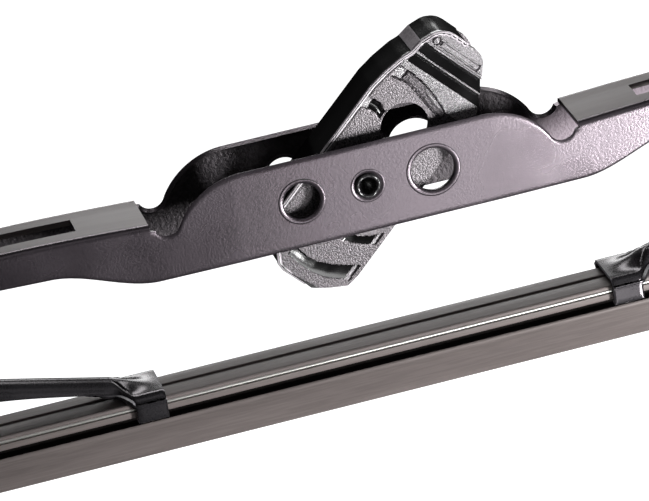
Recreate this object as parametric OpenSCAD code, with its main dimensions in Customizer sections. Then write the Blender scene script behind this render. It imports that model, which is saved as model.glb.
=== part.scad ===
// Framed wiper blade with a hook adapter: a folded steel bridge carries two levers,
// each lever carries a claw yoke, and six claws hold a rubber squeegee on two spring rails.
// The origin is the axis of the adapter's rivet, +X runs along the blade, +Y away from
// the front plate, +Z away from the glass. All lengths are in millimetres.

/* [Squeegee] */
// Length of the rubber and its rails
blade_length = 500; // [480:1:560]
// From each end of the rubber to the middle of the last claw
end_overhang = 17.5; // [15:0.5:20]
// Width of the rubber's head
head_width = 9.4; // [9:0.1:9.8]
// Height of the rubber's head
head_height = 3.1; // [3:0.1:3.6]
// From the adapter's rivet down to the top of the rubber
head_drop = 32.9; // [32.6:0.1:33.4]
// Thickness of the neck under the head
neck_width = 1.6; // [1.2:0.1:2]
// Height of the neck
neck_height = 2.2; // [2:0.1:2.6]
// Width of the rubber's shoulder, above the wiping lip
shoulder_width = 5.8; // [5:0.1:6.4]
// Height of the tapered lip below the shoulder
lip_height = 6.2; // [5:0.1:8]
// Width of the wiping edge
lip_edge = 0.9; // [0.6:0.1:1.4]
// Width of the groove along the top of the head
top_groove_width = 1.2; // [0.8:0.1:1.6]
// Depth of the groove along the top of the head
top_groove_depth = 0.4; // [0.2:0.1:0.5]

/* [Rails] */
// Thickness of a spring rail
rail_thickness = 0.8; // [0.6:0.1:1]
// Width of a spring rail
rail_width = 2.6; // [2:0.1:3]
// From the top of the rubber down to the rail's slot
rail_depth = 0.9; // [0.7:0.1:1.1]

/* [Bridge] */
// Sheet thickness of the bridge and levers
sheet = 1.1; // [0.9:0.05:1.2]
// Outside width of the bridge at the adapter
bridge_width = 15; // [14.6:0.1:16]
// Outside width of the bridge at its ends
bridge_end_width = 12; // [11.8:0.1:12.6]
// From the adapter's rivet up to the top edge of the side plates
hump_height = 8.3; // [8:0.1:9]
// From the adapter's rivet down to the bottom edge of the side plates
belly_depth = 9.05; // [8.6:0.1:9.6]
// From the centre to where the top web begins, on each side
window_half = 41.2; // [41:0.1:43]
// Width of the slot in the top web
slot_width = 5.6; // [4.4:0.2:7]
// Corner radius of the slot
slot_corner = 1.4; // [0.6:0.1:2]
// From the centre to the inner end of the slot
slot_start = 54; // [50:0.5:60]
// Length of the slot in the top web
slot_length = 44; // [30:1:48]
// From the centre to the two punched holes in the side plates
hole_offset = 12.6; // [12.4:0.1:13]
// Diameter of the left punched hole
small_hole = 6.9; // [6:0.1:7.5]
// Diameter of the right punched hole in the front plate
large_hole = 8.3; // [8:0.1:8.8]
// Diameter of the right punched hole in the back plate
back_hole = 10; // [8:0.1:10.4]
// Width of the bevel round a punched hole
hole_bevel = 0.4; // [0.2:0.1:0.6]

/* [Levers and yokes] */
// Height of the levers' pivots below the adapter's rivet
lever_drop = 20; // [19.8:0.1:20.4]
// Height of the yokes' pivots below the adapter's rivet
yoke_drop = 28.6; // [28.4:0.1:28.8]
// Outside width of a lever's thin inner arm
arm_width = 5.5; // [5:0.1:6]
// Outside width of a lever at its pivots
lever_width = 8.2; // [8:0.1:8.4]
// Outside width of a yoke
yoke_width = 4.6; // [4.5:0.1:4.7]
// Sheet thickness of the yokes and of all claws
claw_sheet = 1; // [0.8:0.05:1.1]
// Length of a claw along the rubber
claw_length = 5.8; // [5:0.2:7]
// Gap between a claw and the rubber's head, above and below
claw_play = 0.45; // [0.4:0.05:0.5]
// Gap between a claw and each side of the rubber's head
claw_side_gap = 0.2; // [0.1:0.05:0.3]
// Outside radius of a claw's shoulders
claw_radius = 1.6; // [1.4:0.1:2.4]
// Thickness of a claw's curled lower edge
curl_thickness = 0.55; // [0.4:0.05:0.8]
// Reach of a claw's curled lower edge under the head
curl_reach = 1.5; // [1:0.1:2]

/* [Rivets and liners] */
// Diameter of the levers' rivets
lever_rivet = 3.2; // [2.8:0.1:3.4]
// Diameter of the yokes' rivets
yoke_rivet = 2.8; // [2.4:0.1:3]
// Diameter of the adapter's tubular rivet
adapter_rivet_size = 4.2; // [4:0.1:4.4]
// Bore of the adapter's tubular rivet
adapter_rivet_bore = 3.5; // [3:0.1:3.6]
// Thickness of the plastic liner in a bridge end
lever_liner = 0.65; // [0.5:0.05:0.7]
// Thickness of the plastic liner in a lever end
yoke_liner = 0.55; // [0.4:0.05:0.58]
// Gap round a rivet in a piece that turns on it
running_gap = 0.05; // [0.03:0.01:0.08]
// Gap round a rivet in a piece that it holds fast
fixed_gap = 0.02; // [0.01:0.01:0.03]
// Sideways gap between neighbouring folded pieces
side_gap = 0.1; // [0.06:0.02:0.14]

/* [Adapter] */
// Angle of the adapter above the bridge
adapter_angle = 43.3; // [30:0.1:60]
// Outside width of the adapter
adapter_width = 9.4; // [8.6:0.1:10]
// Wall of the adapter's cheeks
cheek = 1.4; // [1:0.1:1.6]
// Thickness of the adapter's top and end webs
adapter_web = 1.3; // [1:0.1:1.6]
// Height of the adapter above and below its rivet
adapter_half = 10.2; // [9.8:0.1:10.4]
// Length of the adapter's grip end, from the rivet
tip_length = 31.8; // [31:0.1:32.2]
// Length of the adapter's tail end, from the rivet
tail_length = 22.5; // [21.5:0.1:23]
// Diameter of the hub that the arm's hook turns round
hub_size = 9.6; // [8.6:0.1:10]
// Diameter of the spacer boss on each cheek
boss_size = 7.6; // [7:0.1:9]
// Gap between a spacer boss and the bridge's plate
boss_gap = 0.15; // [0.1:0.05:0.25]
// Diameter of the round hole in the cheeks
cheek_hole = 9.2; // [8:0.1:9.4]
// Depth of the curved recesses in the cheeks
recess_depth = 0.6; // [0.3:0.1:0.8]
// Depth of the grip ridges at the adapter's end
grip_depth = 0.6; // [0.3:0.1:0.8]

/* [End clips] */
// Length of an end clip along the rubber
clip_length = 6; // [4:0.5:8]
// Sheet thickness of an end clip
clip_sheet = 0.6; // [0.5:0.05:0.8]
// From the end of the rubber to the end clip
clip_setback = 3; // [2:0.5:5]

/* [Hidden] */

far = 400;
fine = 64;
fit = 0.02;
rim_scale = 0.93;
bury = 0.05;

// Six claws at equal distances; stations along the blade, and heights of the pivots
claw_pitch = (blade_length - 2 * end_overhang) / 5;
inner_claw_x = claw_pitch / 2;
lever_x = claw_pitch * 1.5;
yoke_x = claw_pitch * 2;
lever_z = -lever_drop;
yoke_z = -yoke_drop;
head_top = -head_drop;
head_bottom = head_top - head_height;
neck_bottom = head_bottom - neck_height;
roof_under = head_top + claw_play;
roof_top = roof_under + claw_sheet;
curl_top = head_bottom - claw_play;
claw_bottom = curl_top - curl_thickness;
claw_in = head_width / 2 + claw_side_gap;
claw_out = claw_in + claw_sheet;
slot_top = head_top - rail_depth;

// Bridge outline
hump_radius = 14.5;
hump_centre = [23, hump_height - hump_radius];
notch_radius = 2.6;
web_top = 2.2;
notch_centre = [window_half - 3.3, web_top - 0.1];
crest = [70, web_top + 1.1];
ear_radius = 4.3;
ear_end = lever_x + ear_radius;
ear_top = lever_z + 5.1;

// Lever and yoke outlines
lever_tip = yoke_x + 4.3;
lever_crest = [lever_x - 12, lever_z + 3.4];
lever_end_top = yoke_z + 4.7;
ridge_rise = roof_top + 1.6;
arch_radius = 2.6;
hood_drop = 0.7;
yoke_crest = yoke_z + 2.8;
yoke_belly = yoke_z - 2.7;
ridge_start = claw_length / 2 - 0.6;

// Points of a smooth curve from a to b that leaves and arrives with the given slopes
function ease(a, b, leave, arrive, n = 10) = [for (i = [0:n])
    let (t = i / n, span = b[0] - a[0])
    [a[0] + span * t,
     a[1] * (1 - 3 * t * t + 2 * t * t * t) + span * leave * (t - 2 * t * t + t * t * t)
     + b[1] * (3 * t * t - 2 * t * t * t) + span * arrive * (t * t * t - t * t)]];

// Points of an arc about c, from angle a to angle b
function arc(c, r, a, b, n = 8) = [for (i = [0:n])
    let (t = a + (b - a) * i / n) [c[0] + r * cos(t), c[1] + r * sin(t)]];

// The same points in the opposite order
function back(p) = [for (i = [len(p) - 1:-1:0]) p[i]];

// The same points moved by d
function shift(p, d) = [for (q = p) q + d];

// A plate seen from the front, as thick as width across the blade
module side_plate(points, width) {
    rotate([90, 0, 0]) linear_extrude(width, center = true) polygon(points);
}

// A shape seen from above, as tall as the whole part
module plan_plate(points) {
    linear_extrude(2 * far, center = true) polygon(points);
}

// A section across the blade, carried along it from x = a to x = b
module along(a, b) {
    translate([a, 0, 0]) rotate([90, 0, 90]) linear_extrude(b - a) children();
}

// A round pin across the blade, centred on the front view's point p
module cross_pin(p, d, width) {
    translate([p[0], 0, p[1]]) rotate([90, 0, 0]) cylinder(d = d, h = width, center = true, $fn = fine);
}

// The same half drawn on the left and on the right
module both_ends() {
    children();
    mirror([1, 0, 0]) children();
}

// Bridge: top line of the right half from the notch to the ear
function bridge_top() = concat(ease([window_half, web_top], crest, 0.06, 0, 6),
    ease(crest, [ear_end, ear_top], 0, -0.22, 14));

// Bridge: bottom line of the right half
function bridge_bottom() = concat([[0, -belly_depth]],
    ease([window_half - 0.4, -belly_depth], [60, crest[1] - 7.1], 0, 0.08, 10),
    ease([71, crest[1] - 6.7], [lever_x, lever_z - ear_radius], 0, -0.2, 14));

module bridge_half_shape() {
    side_plate(concat([[0, -belly_depth]], bridge_bottom(),
        arc([lever_x, lever_z], ear_radius, -90, 0, 10), back(bridge_top()),
        arc(notch_centre, notch_radius, 335, 207, 10), arc(hump_centre, hump_radius, 30, 90, 12),
        [[0, hump_height]]), 2 * bridge_width);
}

// The bridge's outline from above, with the plates moved in by the given amount
function bridge_plan(inset) = concat(
    [[0, bridge_width / 2 - inset], [25, bridge_width / 2 - inset],
     [window_half + 3.6, bridge_width / 2 - 0.4 - inset], [71, bridge_width / 2 - 0.7 - inset],
     [lever_x - 6, bridge_end_width / 2 - inset], [ear_end + inset, bridge_end_width / 2 - inset]]);

module bridge_plan_plate(inset) {
    plan_plate(concat(bridge_plan(inset), [for (p = back(bridge_plan(inset))) [p[0], -p[1]]]));
}

module bridge_half() {
    difference() {
        intersection() {
            bridge_half_shape();
            bridge_plan_plate(0);
        }
        intersection() {
            side_plate(concat([[-1, -far], [-1, far], [window_half, far]], shift(bridge_top(), [0, -sheet]),
                [[ear_end + 2, ear_top - sheet - 0.5], [ear_end + 2, -far]]), 2 * bridge_width);
            translate([-1, 0, 0]) bridge_plan_plate(sheet);
            bridge_plan_plate(sheet);
        }
        cross_pin([lever_x, lever_z], lever_rivet + 2 * fixed_gap, 2 * bridge_width);
        slot_cut();
    }
}

// Slot with round corners in the top web
module slot_cut() {
    translate([slot_start, -slot_width / 2 + slot_corner, crest[1] - 30])
        cube([slot_length, slot_width - 2 * slot_corner, 60]);
    translate([slot_start + slot_corner, -slot_width / 2, crest[1] - 30])
        cube([slot_length - 2 * slot_corner, slot_width, 60]);
    for (x = [slot_corner, slot_length - slot_corner], y = [-1, 1])
        translate([slot_start + x, y * (slot_width / 2 - slot_corner), crest[1] - 30])
            cylinder(r = slot_corner, h = 60, $fn = fine);
}

// Punched hole through the side plate on one side, bevelled on the outside
module punched_hole(x, d, side) {
    translate([x, 0, 0]) rotate([-90 * side, 0, 0]) {
        cylinder(d = d, h = bridge_width, $fn = fine);
        translate([0, 0, bridge_width / 2 - hole_bevel])
            cylinder(d1 = d, d2 = d + 4 * hole_bevel, h = 2 * hole_bevel, $fn = fine);
    }
}

module bridge() {
    color("#4b4750") difference() {
        both_ends() bridge_half();
        for (side = [-1, 1]) punched_hole(-hole_offset, small_hole, side);
        punched_hole(hole_offset, large_hole, -1);
        punched_hole(hole_offset, back_hole, 1);
        cross_pin([0, 0], adapter_rivet_size + 2 * fixed_gap, 2 * bridge_width);
    }
}

// Rivet across the blade with a round head on each side of a pack of the given width
module headed_rivet(p, d, width, head_d, head_h) {
    cross_pin(p, d, width + 0.2);
    for (side = [-1, 1])
        translate([p[0], side * width / 2, p[1]]) rotate([-90 * side, 0, 0])
            rotate_extrude($fn = fine) polygon(concat([[0, 0], [head_d / 2, 0]],
                [for (i = [0:5]) [head_d / 2 * cos(15 * i), head_h * (0.35 + 0.65 * sin(15 * i))]],
                [[0, head_h]]));
}

// Tubular rivet: solid head at the back, open rolled rim at the front
module adapter_rivet() {
    r = adapter_rivet_size / 2;
    rim = 0.5;
    color("#26242a") translate([0, -bridge_width / 2, 0]) rotate([-90, 0, 0]) difference() {
        union() {
            cylinder(r = r, h = bridge_width, $fn = fine);
            rotate_extrude($fn = fine) polygon(concat([[0, 0]], arc([r, 0], rim, 0, -180, 8)));
            translate([0, 0, bridge_width]) cylinder(r = r + 1, h = 0.5, $fn = fine);
            translate([0, 0, bridge_width + 0.5]) cylinder(r1 = r + 1, r2 = r, h = 0.5, $fn = fine);
        }
        translate([0, 0, -1]) cylinder(d = adapter_rivet_bore, h = 8, $fn = fine);
    }
}

// Solid seen in section: a rounded roof over the rubber's head
module roof_section(half, top, r) {
    polygon(concat([[-half, top - 12]], arc([-half + r, top - r], r, 180, 90, 6),
        arc([half - r, top - r], r, 90, 0, 6), [[half, top - 12]]));
}

// One claw in section: roof, shoulders, tabs and the edges curled under the head
module claw_section() {
    difference() {
        intersection() {
            roof_section(claw_out, roof_top, claw_radius);
            translate([-claw_out, claw_bottom]) square([2 * claw_out, roof_top - claw_bottom]);
        }
        difference() {
            roof_section(claw_in, roof_under, claw_radius - claw_sheet);
            for (side = [-1, 1])
                translate([side * (claw_in - curl_reach / 2), claw_bottom + curl_thickness / 2])
                    square([curl_reach + 0.02, curl_thickness], center = true);
        }
    }
}

// Claw centred on x. On the side that dir points to, a hood rises and narrows to the arm.
module claw(x, dir, arm_half) {
    edge = claw_length / 2;
    full = edge + 0.2;
    hood = edge + arch_radius;
    translate([x, 0, 0]) {
        along(-edge, edge) claw_section();
        mirror([dir < 0 ? 1 : 0, 0, 0]) difference() {
            intersection() {
                plan_plate(hood_plan(edge - 0.01, full, hood, claw_out, arm_half - bury));
                side_plate(concat(
                    arc([hood, roof_top + hood_drop - arch_radius], arch_radius, 180, 90, 8),
                    [[hood, ridge_rise + 0.1], [full, roof_top], [edge - 0.01, roof_top]]), 4 * claw_out);
            }
            intersection() {
                plan_plate(hood_plan(edge - 1, full, hood + 1, claw_in,
                    arm_half - claw_sheet - bury));
                side_plate([[edge - 1, roof_under], [full, roof_under],
                    [hood + 1, ridge_rise + 0.1 - claw_sheet], [hood + 1, -far], [edge - 1, -far]],
                    4 * claw_out);
            }
        }
    }
}

function hood_plan(a, b, c, wide, narrow) =
    [[a, wide], [b, wide], [c, narrow], [c, -narrow], [b, -wide], [a, -wide]];

// Lever: top line from the claw to its outer end
function lever_top() = concat(
    ease([inner_claw_x - ridge_start, roof_top + 0.1], [inner_claw_x + 3.8, ridge_rise], 0.1, 0.22, 4),
    ease([inner_claw_x + 3.8, ridge_rise], lever_crest, 0.2, 0, 10),
    ease(lever_crest, [lever_tip, lever_end_top], 0, -0.1, 8));

// Lever: lower line from its outer end back to the claw
function lever_bottom() = concat(
    ease([inner_claw_x + claw_length / 2 + arch_radius, roof_top + hood_drop],
        [inner_claw_x + 27, ridge_rise + 2.5], 0.2, 0.14, 5),
    ease([inner_claw_x + 27, ridge_rise + 2.5], [lever_x, lever_z - 3.6], 0.14, -0.04, 8),
    ease([lever_x, lever_z - 3.6], [yoke_x, yoke_z - 2.8], -0.04, -0.12, 6));

module lever_arm() {
    difference() {
        intersection() {
            side_plate(concat(lever_top(), arc([yoke_x, yoke_z], lever_tip - yoke_x, 20, -40, 6),
                back(lever_bottom()), [[inner_claw_x + claw_length / 2, roof_under],
                [inner_claw_x - ridge_start, roof_under]]), 4 * lever_width);
            plan_plate(lever_plan(0));
        }
        intersection() {
            side_plate(concat(shift(lever_top(), [0, -sheet]), [[far, lever_end_top - sheet], [far, -far],
                [inner_claw_x - ridge_start, -far]]), 4 * lever_width);
            plan_plate(lever_plan(sheet));
        }
    }
}

function lever_half_plan(inset) = [[inner_claw_x - ridge_start - 1, arm_width / 2 - inset],
    [inner_claw_x + 27, arm_width / 2 - inset], [lever_x - 14, lever_width / 2 - inset],
    [lever_tip + 1, lever_width / 2 - inset]];

function lever_plan(inset) = concat(lever_half_plan(inset),
    [for (p = back(lever_half_plan(inset))) [p[0], -p[1]]]);

module lever() {
    color("#2b292d") difference() {
        union() {
            lever_arm();
            claw(inner_claw_x, 1, arm_width / 2);
        }
        cross_pin([lever_x, lever_z], lever_rivet + 2 * running_gap, 4 * lever_width);
        cross_pin([yoke_x, yoke_z], yoke_rivet + 2 * fixed_gap, 4 * lever_width);
    }
}

// Yoke: top line from its middle to one claw
function yoke_top() = let (edge = inner_claw_x - claw_length / 2 - 0.3) concat(
    [[0, yoke_crest], [4, yoke_crest]],
    ease([4, yoke_crest], [edge, ridge_rise - 0.3], 0, -0.2, 8),
    ease([edge, ridge_rise - 0.3], [inner_claw_x + ridge_start, roof_top + 0.1], -0.22, -0.1, 4));

module yoke_half() {
    difference() {
        intersection() {
            side_plate(concat(yoke_top(), [[inner_claw_x + ridge_start, roof_under],
                [inner_claw_x - claw_length / 2, roof_under]],
                ease([inner_claw_x - claw_length / 2 - arch_radius, roof_top + hood_drop],
                    [20, yoke_crest - 3.3], -0.2, -0.1, 5),
                ease([20, yoke_crest - 3.3], [5, yoke_belly], -0.1, 0, 5), [[0, yoke_belly]]),
                4 * yoke_width);
            cube([2 * far, yoke_width, 2 * far], center = true);
        }
        intersection() {
            side_plate(concat([[-1, yoke_crest - claw_sheet]], shift(yoke_top(), [0, -claw_sheet]),
                [[inner_claw_x + ridge_start, -far], [-1, -far]]), 4 * yoke_width);
            cube([2 * far, yoke_width - 2 * claw_sheet, 2 * far], center = true);
        }
    }
    claw(inner_claw_x, -1, yoke_width / 2);
}

module claw_yoke() {
    color("#2b292d") difference() {
        translate([yoke_x, 0, 0]) both_ends() yoke_half();
        cross_pin([yoke_x, yoke_z], yoke_rivet + 2 * running_gap, 4 * yoke_width);
    }
}

// Plastic liner: a saddle over the inner piece, between the folded sides
module liner(p, half_in, wall, cap_under, low, reach, hole) {
    color("#17161a") difference() {
        translate([p[0] - reach, -half_in - wall, low])
            cube([2 * reach, 2 * (half_in + wall), cap_under + wall - low]);
        translate([p[0] - reach - 1, -half_in, low - 1])
            cube([2 * reach + 2, 2 * half_in, cap_under - low + 1]);
        cross_pin(p, hole, 4 * (half_in + wall));
    }
}

module lever_liner_piece() {
    liner([lever_x, lever_z], lever_width / 2 + side_gap, lever_liner, lever_z + 3.25, lever_z - 3.2, 3.2,
        lever_rivet + 2 * running_gap);
}

module yoke_liner_piece() {
    liner([yoke_x, yoke_z], yoke_width / 2 + side_gap, yoke_liner, yoke_crest + 0.25, yoke_z - 2.4, 3,
        yoke_rivet + 2 * running_gap);
}

module lever_rivet_piece() {
    color("#1d1c20") headed_rivet([lever_x, lever_z], lever_rivet, bridge_end_width, 5.8, 1.1);
}

module yoke_rivet_piece() {
    color("#1d1c20") headed_rivet([yoke_x, yoke_z], yoke_rivet, lever_width, 4.8, 0.9);
}

// Half of the rubber's section, from the top centre down to the wiping edge
function rubber_half() = [
    [top_groove_width / 2, head_top - top_groove_depth], [top_groove_width / 2, head_top],
    [head_width / 2 - 0.4, head_top], [head_width / 2, head_top - 0.3], [head_width / 2, slot_top],
    [head_width / 2 - rail_width, slot_top], [head_width / 2 - rail_width, slot_top - rail_thickness],
    [head_width / 2, slot_top - rail_thickness], [head_width / 2, head_bottom + 0.4],
    [head_width / 2 - 0.4, head_bottom], [neck_width / 2, head_bottom], [neck_width / 2, neck_bottom],
    [shoulder_width / 2 - 0.2, neck_bottom - 0.3], [shoulder_width / 2, neck_bottom - 1],
    [shoulder_width / 2 - 0.5, neck_bottom - 1.8], [lip_edge / 2, neck_bottom - 1.8 - lip_height]];

module squeegee() {
    color("#3a3230") along(-blade_length / 2, blade_length / 2)
        polygon(concat(rubber_half(), [for (p = back(rubber_half())) [-p[0], p[1]]]));
}

// Spring rail in the slot of the side that side points to
module rail(side) {
    inner = side > 0 ? head_width / 2 - rail_width + fit : -head_width / 2;
    color("#d8d8d4") translate([-blade_length / 2 + 1, inner, slot_top - rail_thickness + fit])
        cube([blade_length - 2, rail_width - fit, rail_thickness - 2 * fit]);
}

// Steel clip folded round the head near its end, which keeps the rubber from sliding out
module end_clip() {
    half = head_width / 2 + clip_sheet + fit;
    low = head_bottom - clip_sheet - fit;
    x = blade_length / 2 - clip_setback;
    color("#1d1c20") along(x - clip_length, x) difference() {
        translate([-half, low]) square([2 * half, head_top + fit + clip_sheet - low]);
        translate([clip_sheet - half, low + clip_sheet])
            square([2 * half - 2 * clip_sheet, head_top + fit - low - clip_sheet]);
        translate([-head_width / 2 + curl_reach, low - 1])
            square([head_width - 2 * curl_reach, clip_sheet + 2]);
    }
}

// Adapter's outline in its own frame: tail to the left, grip end to the right
function adapter_top() = let (b = -tail_length, t = tip_length, h = adapter_half) [
    [b, 1.9], [b + 0.5, 3.7], [b + 1.9, 5], [b + 5.5, h],
    [t - 16.4, h], [t - 11.5, h - 1.1], [t - 8.8, h - 1.9], [t - 7.2, h - 2.8],
    [t - 4.1, h - 3.5], [t - 1.5, h - 4.1], [t - 0.5, h - 5.1], [t, h - 6.8]];

function adapter_low() = let (b = -tail_length, t = tip_length, h = adapter_half) [
    [t, 9.4 - h], [t - 0.4, 6.6 - h], [t - 1.4, 5.2 - h], [t - 4.2, 3.4 - h], [t - 8.9, 0.5 - h],
    [t - 10.3, -h], [b + 6.1, -h - 0.5], [b + 4.6, -h - 0.3], [b + 3.6, 0.5 - h], [b + 0.5, 5 - h],
    [b, 6.3 - h]];

// The cheeks seen from above, with stepped grip ridges at the end
function grip_plan() = let (t = tip_length, h = adapter_width / 2, d = grip_depth) [
    [-tail_length - 1, h], [t - 8.9, h], [t - 6.6, h - 0.8 * d], [t - 6.55, h - 0.2 * d],
    [t - 4, h - 1.2 * d], [t - 3.95, h - 0.3 * d], [t - 3.35, h - 0.3 * d], [t - 3.3, h - 1.2 * d],
    [t - 1.9, h - 1.2 * d], [t - 1.85, h - 0.3 * d], [t + 1, h - 0.5 * d]];

// Curved recess cut into the outside of both cheeks, inside their rim
module recess(c, outer, inner, low, high) {
    rotate([90, 0, 0]) for (side = [-1, 1])
        translate([0, 0, side * (adapter_width / 2)]) linear_extrude(2 * recess_depth, center = true)
            intersection() {
                difference() {
                    translate(c) circle(r = outer, $fn = 96);
                    translate(c) circle(r = inner, $fn = 96);
                }
                polygon(concat([c], arc(c, 3 * outer, low, high, 4)));
                polygon([for (p = concat(adapter_top(), adapter_low())) rim_scale * p]);
            }
}

module adapter_clip() {
    low = adapter_half + 20;
    inner_tip = tip_length - adapter_web;
    inner_tail = adapter_web - tail_length;
    color("#232127") rotate([0, -adapter_angle, 0]) difference() {
        union() {
            difference() {
                intersection() {
                    side_plate(concat(adapter_top(), adapter_low()), adapter_width);
                    plan_plate(concat(grip_plan(), [for (p = back(grip_plan())) [p[0], -p[1]]]));
                }
                side_plate(concat([[inner_tail, -low]], [for (p = adapter_top())
                    [max(min(p[0], inner_tip), inner_tail), p[1] - adapter_web]], [[inner_tip, -low]]),
                    adapter_width - 2 * cheek);
                cross_pin([hole_offset, 0], cheek_hole, 2 * adapter_width);
                translate([hole_offset - cheek_hole / 2, 0, -low])
                    cube([cheek_hole, adapter_width, low]);
                recess([tip_length - 26.3, 5], 16.15, 13.8, -46, 40);
                recess([hole_offset - 7.3, 7], 8.3, 6.3, -14, 45);
                recess([-5.7, -1.3], 14.2, 11.8, 140, 250);
                recess([-3, -3], 8.8, 7.1, 150, 262);
            }
            translate([tip_length - 3.05, grip_depth / 2 - adapter_width / 2, -4.6])
                cube([0.9, adapter_width - grip_depth, 8.4]);
            cross_pin([tip_length - 2.6, 4.8], 0.9, adapter_width - 0.8 * grip_depth);
            cross_pin([0, 0], hub_size, adapter_width);
            cross_pin([0, 0], boss_size, bridge_width - 2 * sheet - 2 * boss_gap);
        }
        cross_pin([0, 0], adapter_rivet_size + 2 * running_gap, 2 * bridge_width);
    }
}

// Draws a right-hand piece on the left
module on_left() {
    mirror([1, 0, 0]) children();
}

bridge();
adapter_clip();
adapter_rivet();
on_left() lever();  // lever_left
lever();  // lever_right
on_left() lever_rivet_piece();  // lever_rivet_left
lever_rivet_piece();  // lever_rivet_right
on_left() lever_liner_piece();  // lever_liner_left
lever_liner_piece();  // lever_liner_right
on_left() claw_yoke();  // claw_yoke_left
claw_yoke();  // claw_yoke_right
on_left() yoke_rivet_piece();  // yoke_rivet_left
yoke_rivet_piece();  // yoke_rivet_right
on_left() yoke_liner_piece();  // yoke_liner_left
yoke_liner_piece();  // yoke_liner_right
squeegee();
rail(-1);  // rail_front
rail(1);  // rail_back
on_left() end_clip();  // end_clip_left
end_clip();  // end_clip_right
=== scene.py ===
"""Framed wiper blade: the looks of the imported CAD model, laid out as an add-on and run as a script."""

import bmesh
import bpy
import numpy as np
from mathutils import Matrix, Vector


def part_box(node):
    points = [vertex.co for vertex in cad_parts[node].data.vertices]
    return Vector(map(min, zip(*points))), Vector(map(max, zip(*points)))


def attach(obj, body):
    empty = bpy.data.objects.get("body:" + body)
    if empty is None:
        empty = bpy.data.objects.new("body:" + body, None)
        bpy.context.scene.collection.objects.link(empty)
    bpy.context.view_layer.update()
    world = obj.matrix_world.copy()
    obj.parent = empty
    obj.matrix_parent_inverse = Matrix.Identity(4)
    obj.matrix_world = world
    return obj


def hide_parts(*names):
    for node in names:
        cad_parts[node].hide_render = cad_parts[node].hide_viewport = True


bl_info = {
    "name": "Wiper Blade Looks",
    "version": (1, 0, 0),
    "blender": (4, 5, 0),
    "location": "3D View > Sidebar > Wiper",
    "description": "Dresses the CAD model of a framed wiper blade and sets up its studio",
    "category": "Object",
}

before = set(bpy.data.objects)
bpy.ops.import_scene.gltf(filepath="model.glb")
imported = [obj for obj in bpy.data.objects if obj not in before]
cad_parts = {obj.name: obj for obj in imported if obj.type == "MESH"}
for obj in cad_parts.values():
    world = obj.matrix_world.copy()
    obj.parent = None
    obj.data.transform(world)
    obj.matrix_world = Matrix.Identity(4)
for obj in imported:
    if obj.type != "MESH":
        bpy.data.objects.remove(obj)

MM = 0.001
# Name, place, target, width, height and radiance of each lamp. Three narrow panels low in front of the blade
# give the plate its slope from dark to bright. The others give the webs and the rubber's head their shine.
LAMPS = (
    ("right front panel", (0.175, -0.22, -0.092), (0.07, 0, 0), 0.05, 0.11, 120.0),
    ("middle front panel", (0.06, -0.22, -0.092), (0.024, 0, 0), 0.05, 0.11, 7.0),
    ("left front panel", (0.02, -0.22, -0.092), (0.008, 0, 0), 0.05, 0.11, 0.9),
    ("low back panel", (0.119, 0.674, 0.146), (0, 0, 0), 0.22, 0.18, 5.5),
    ("high back panel", (0.081, 0.461, 0.52), (0, 0, 0), 0.22, 0.18, 9.0),
    ("right back panel", (0.429, 0.429, 0.35), (0, 0, 0), 0.22, 0.18, 8.0),
    ("high front panel", (0.0, -0.4, 0.4), (0, 0, 0), 0.4, 0.3, 0.5),
)
IMAGE_WIDTH = 649
IMAGE_HEIGHT = 501

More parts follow.
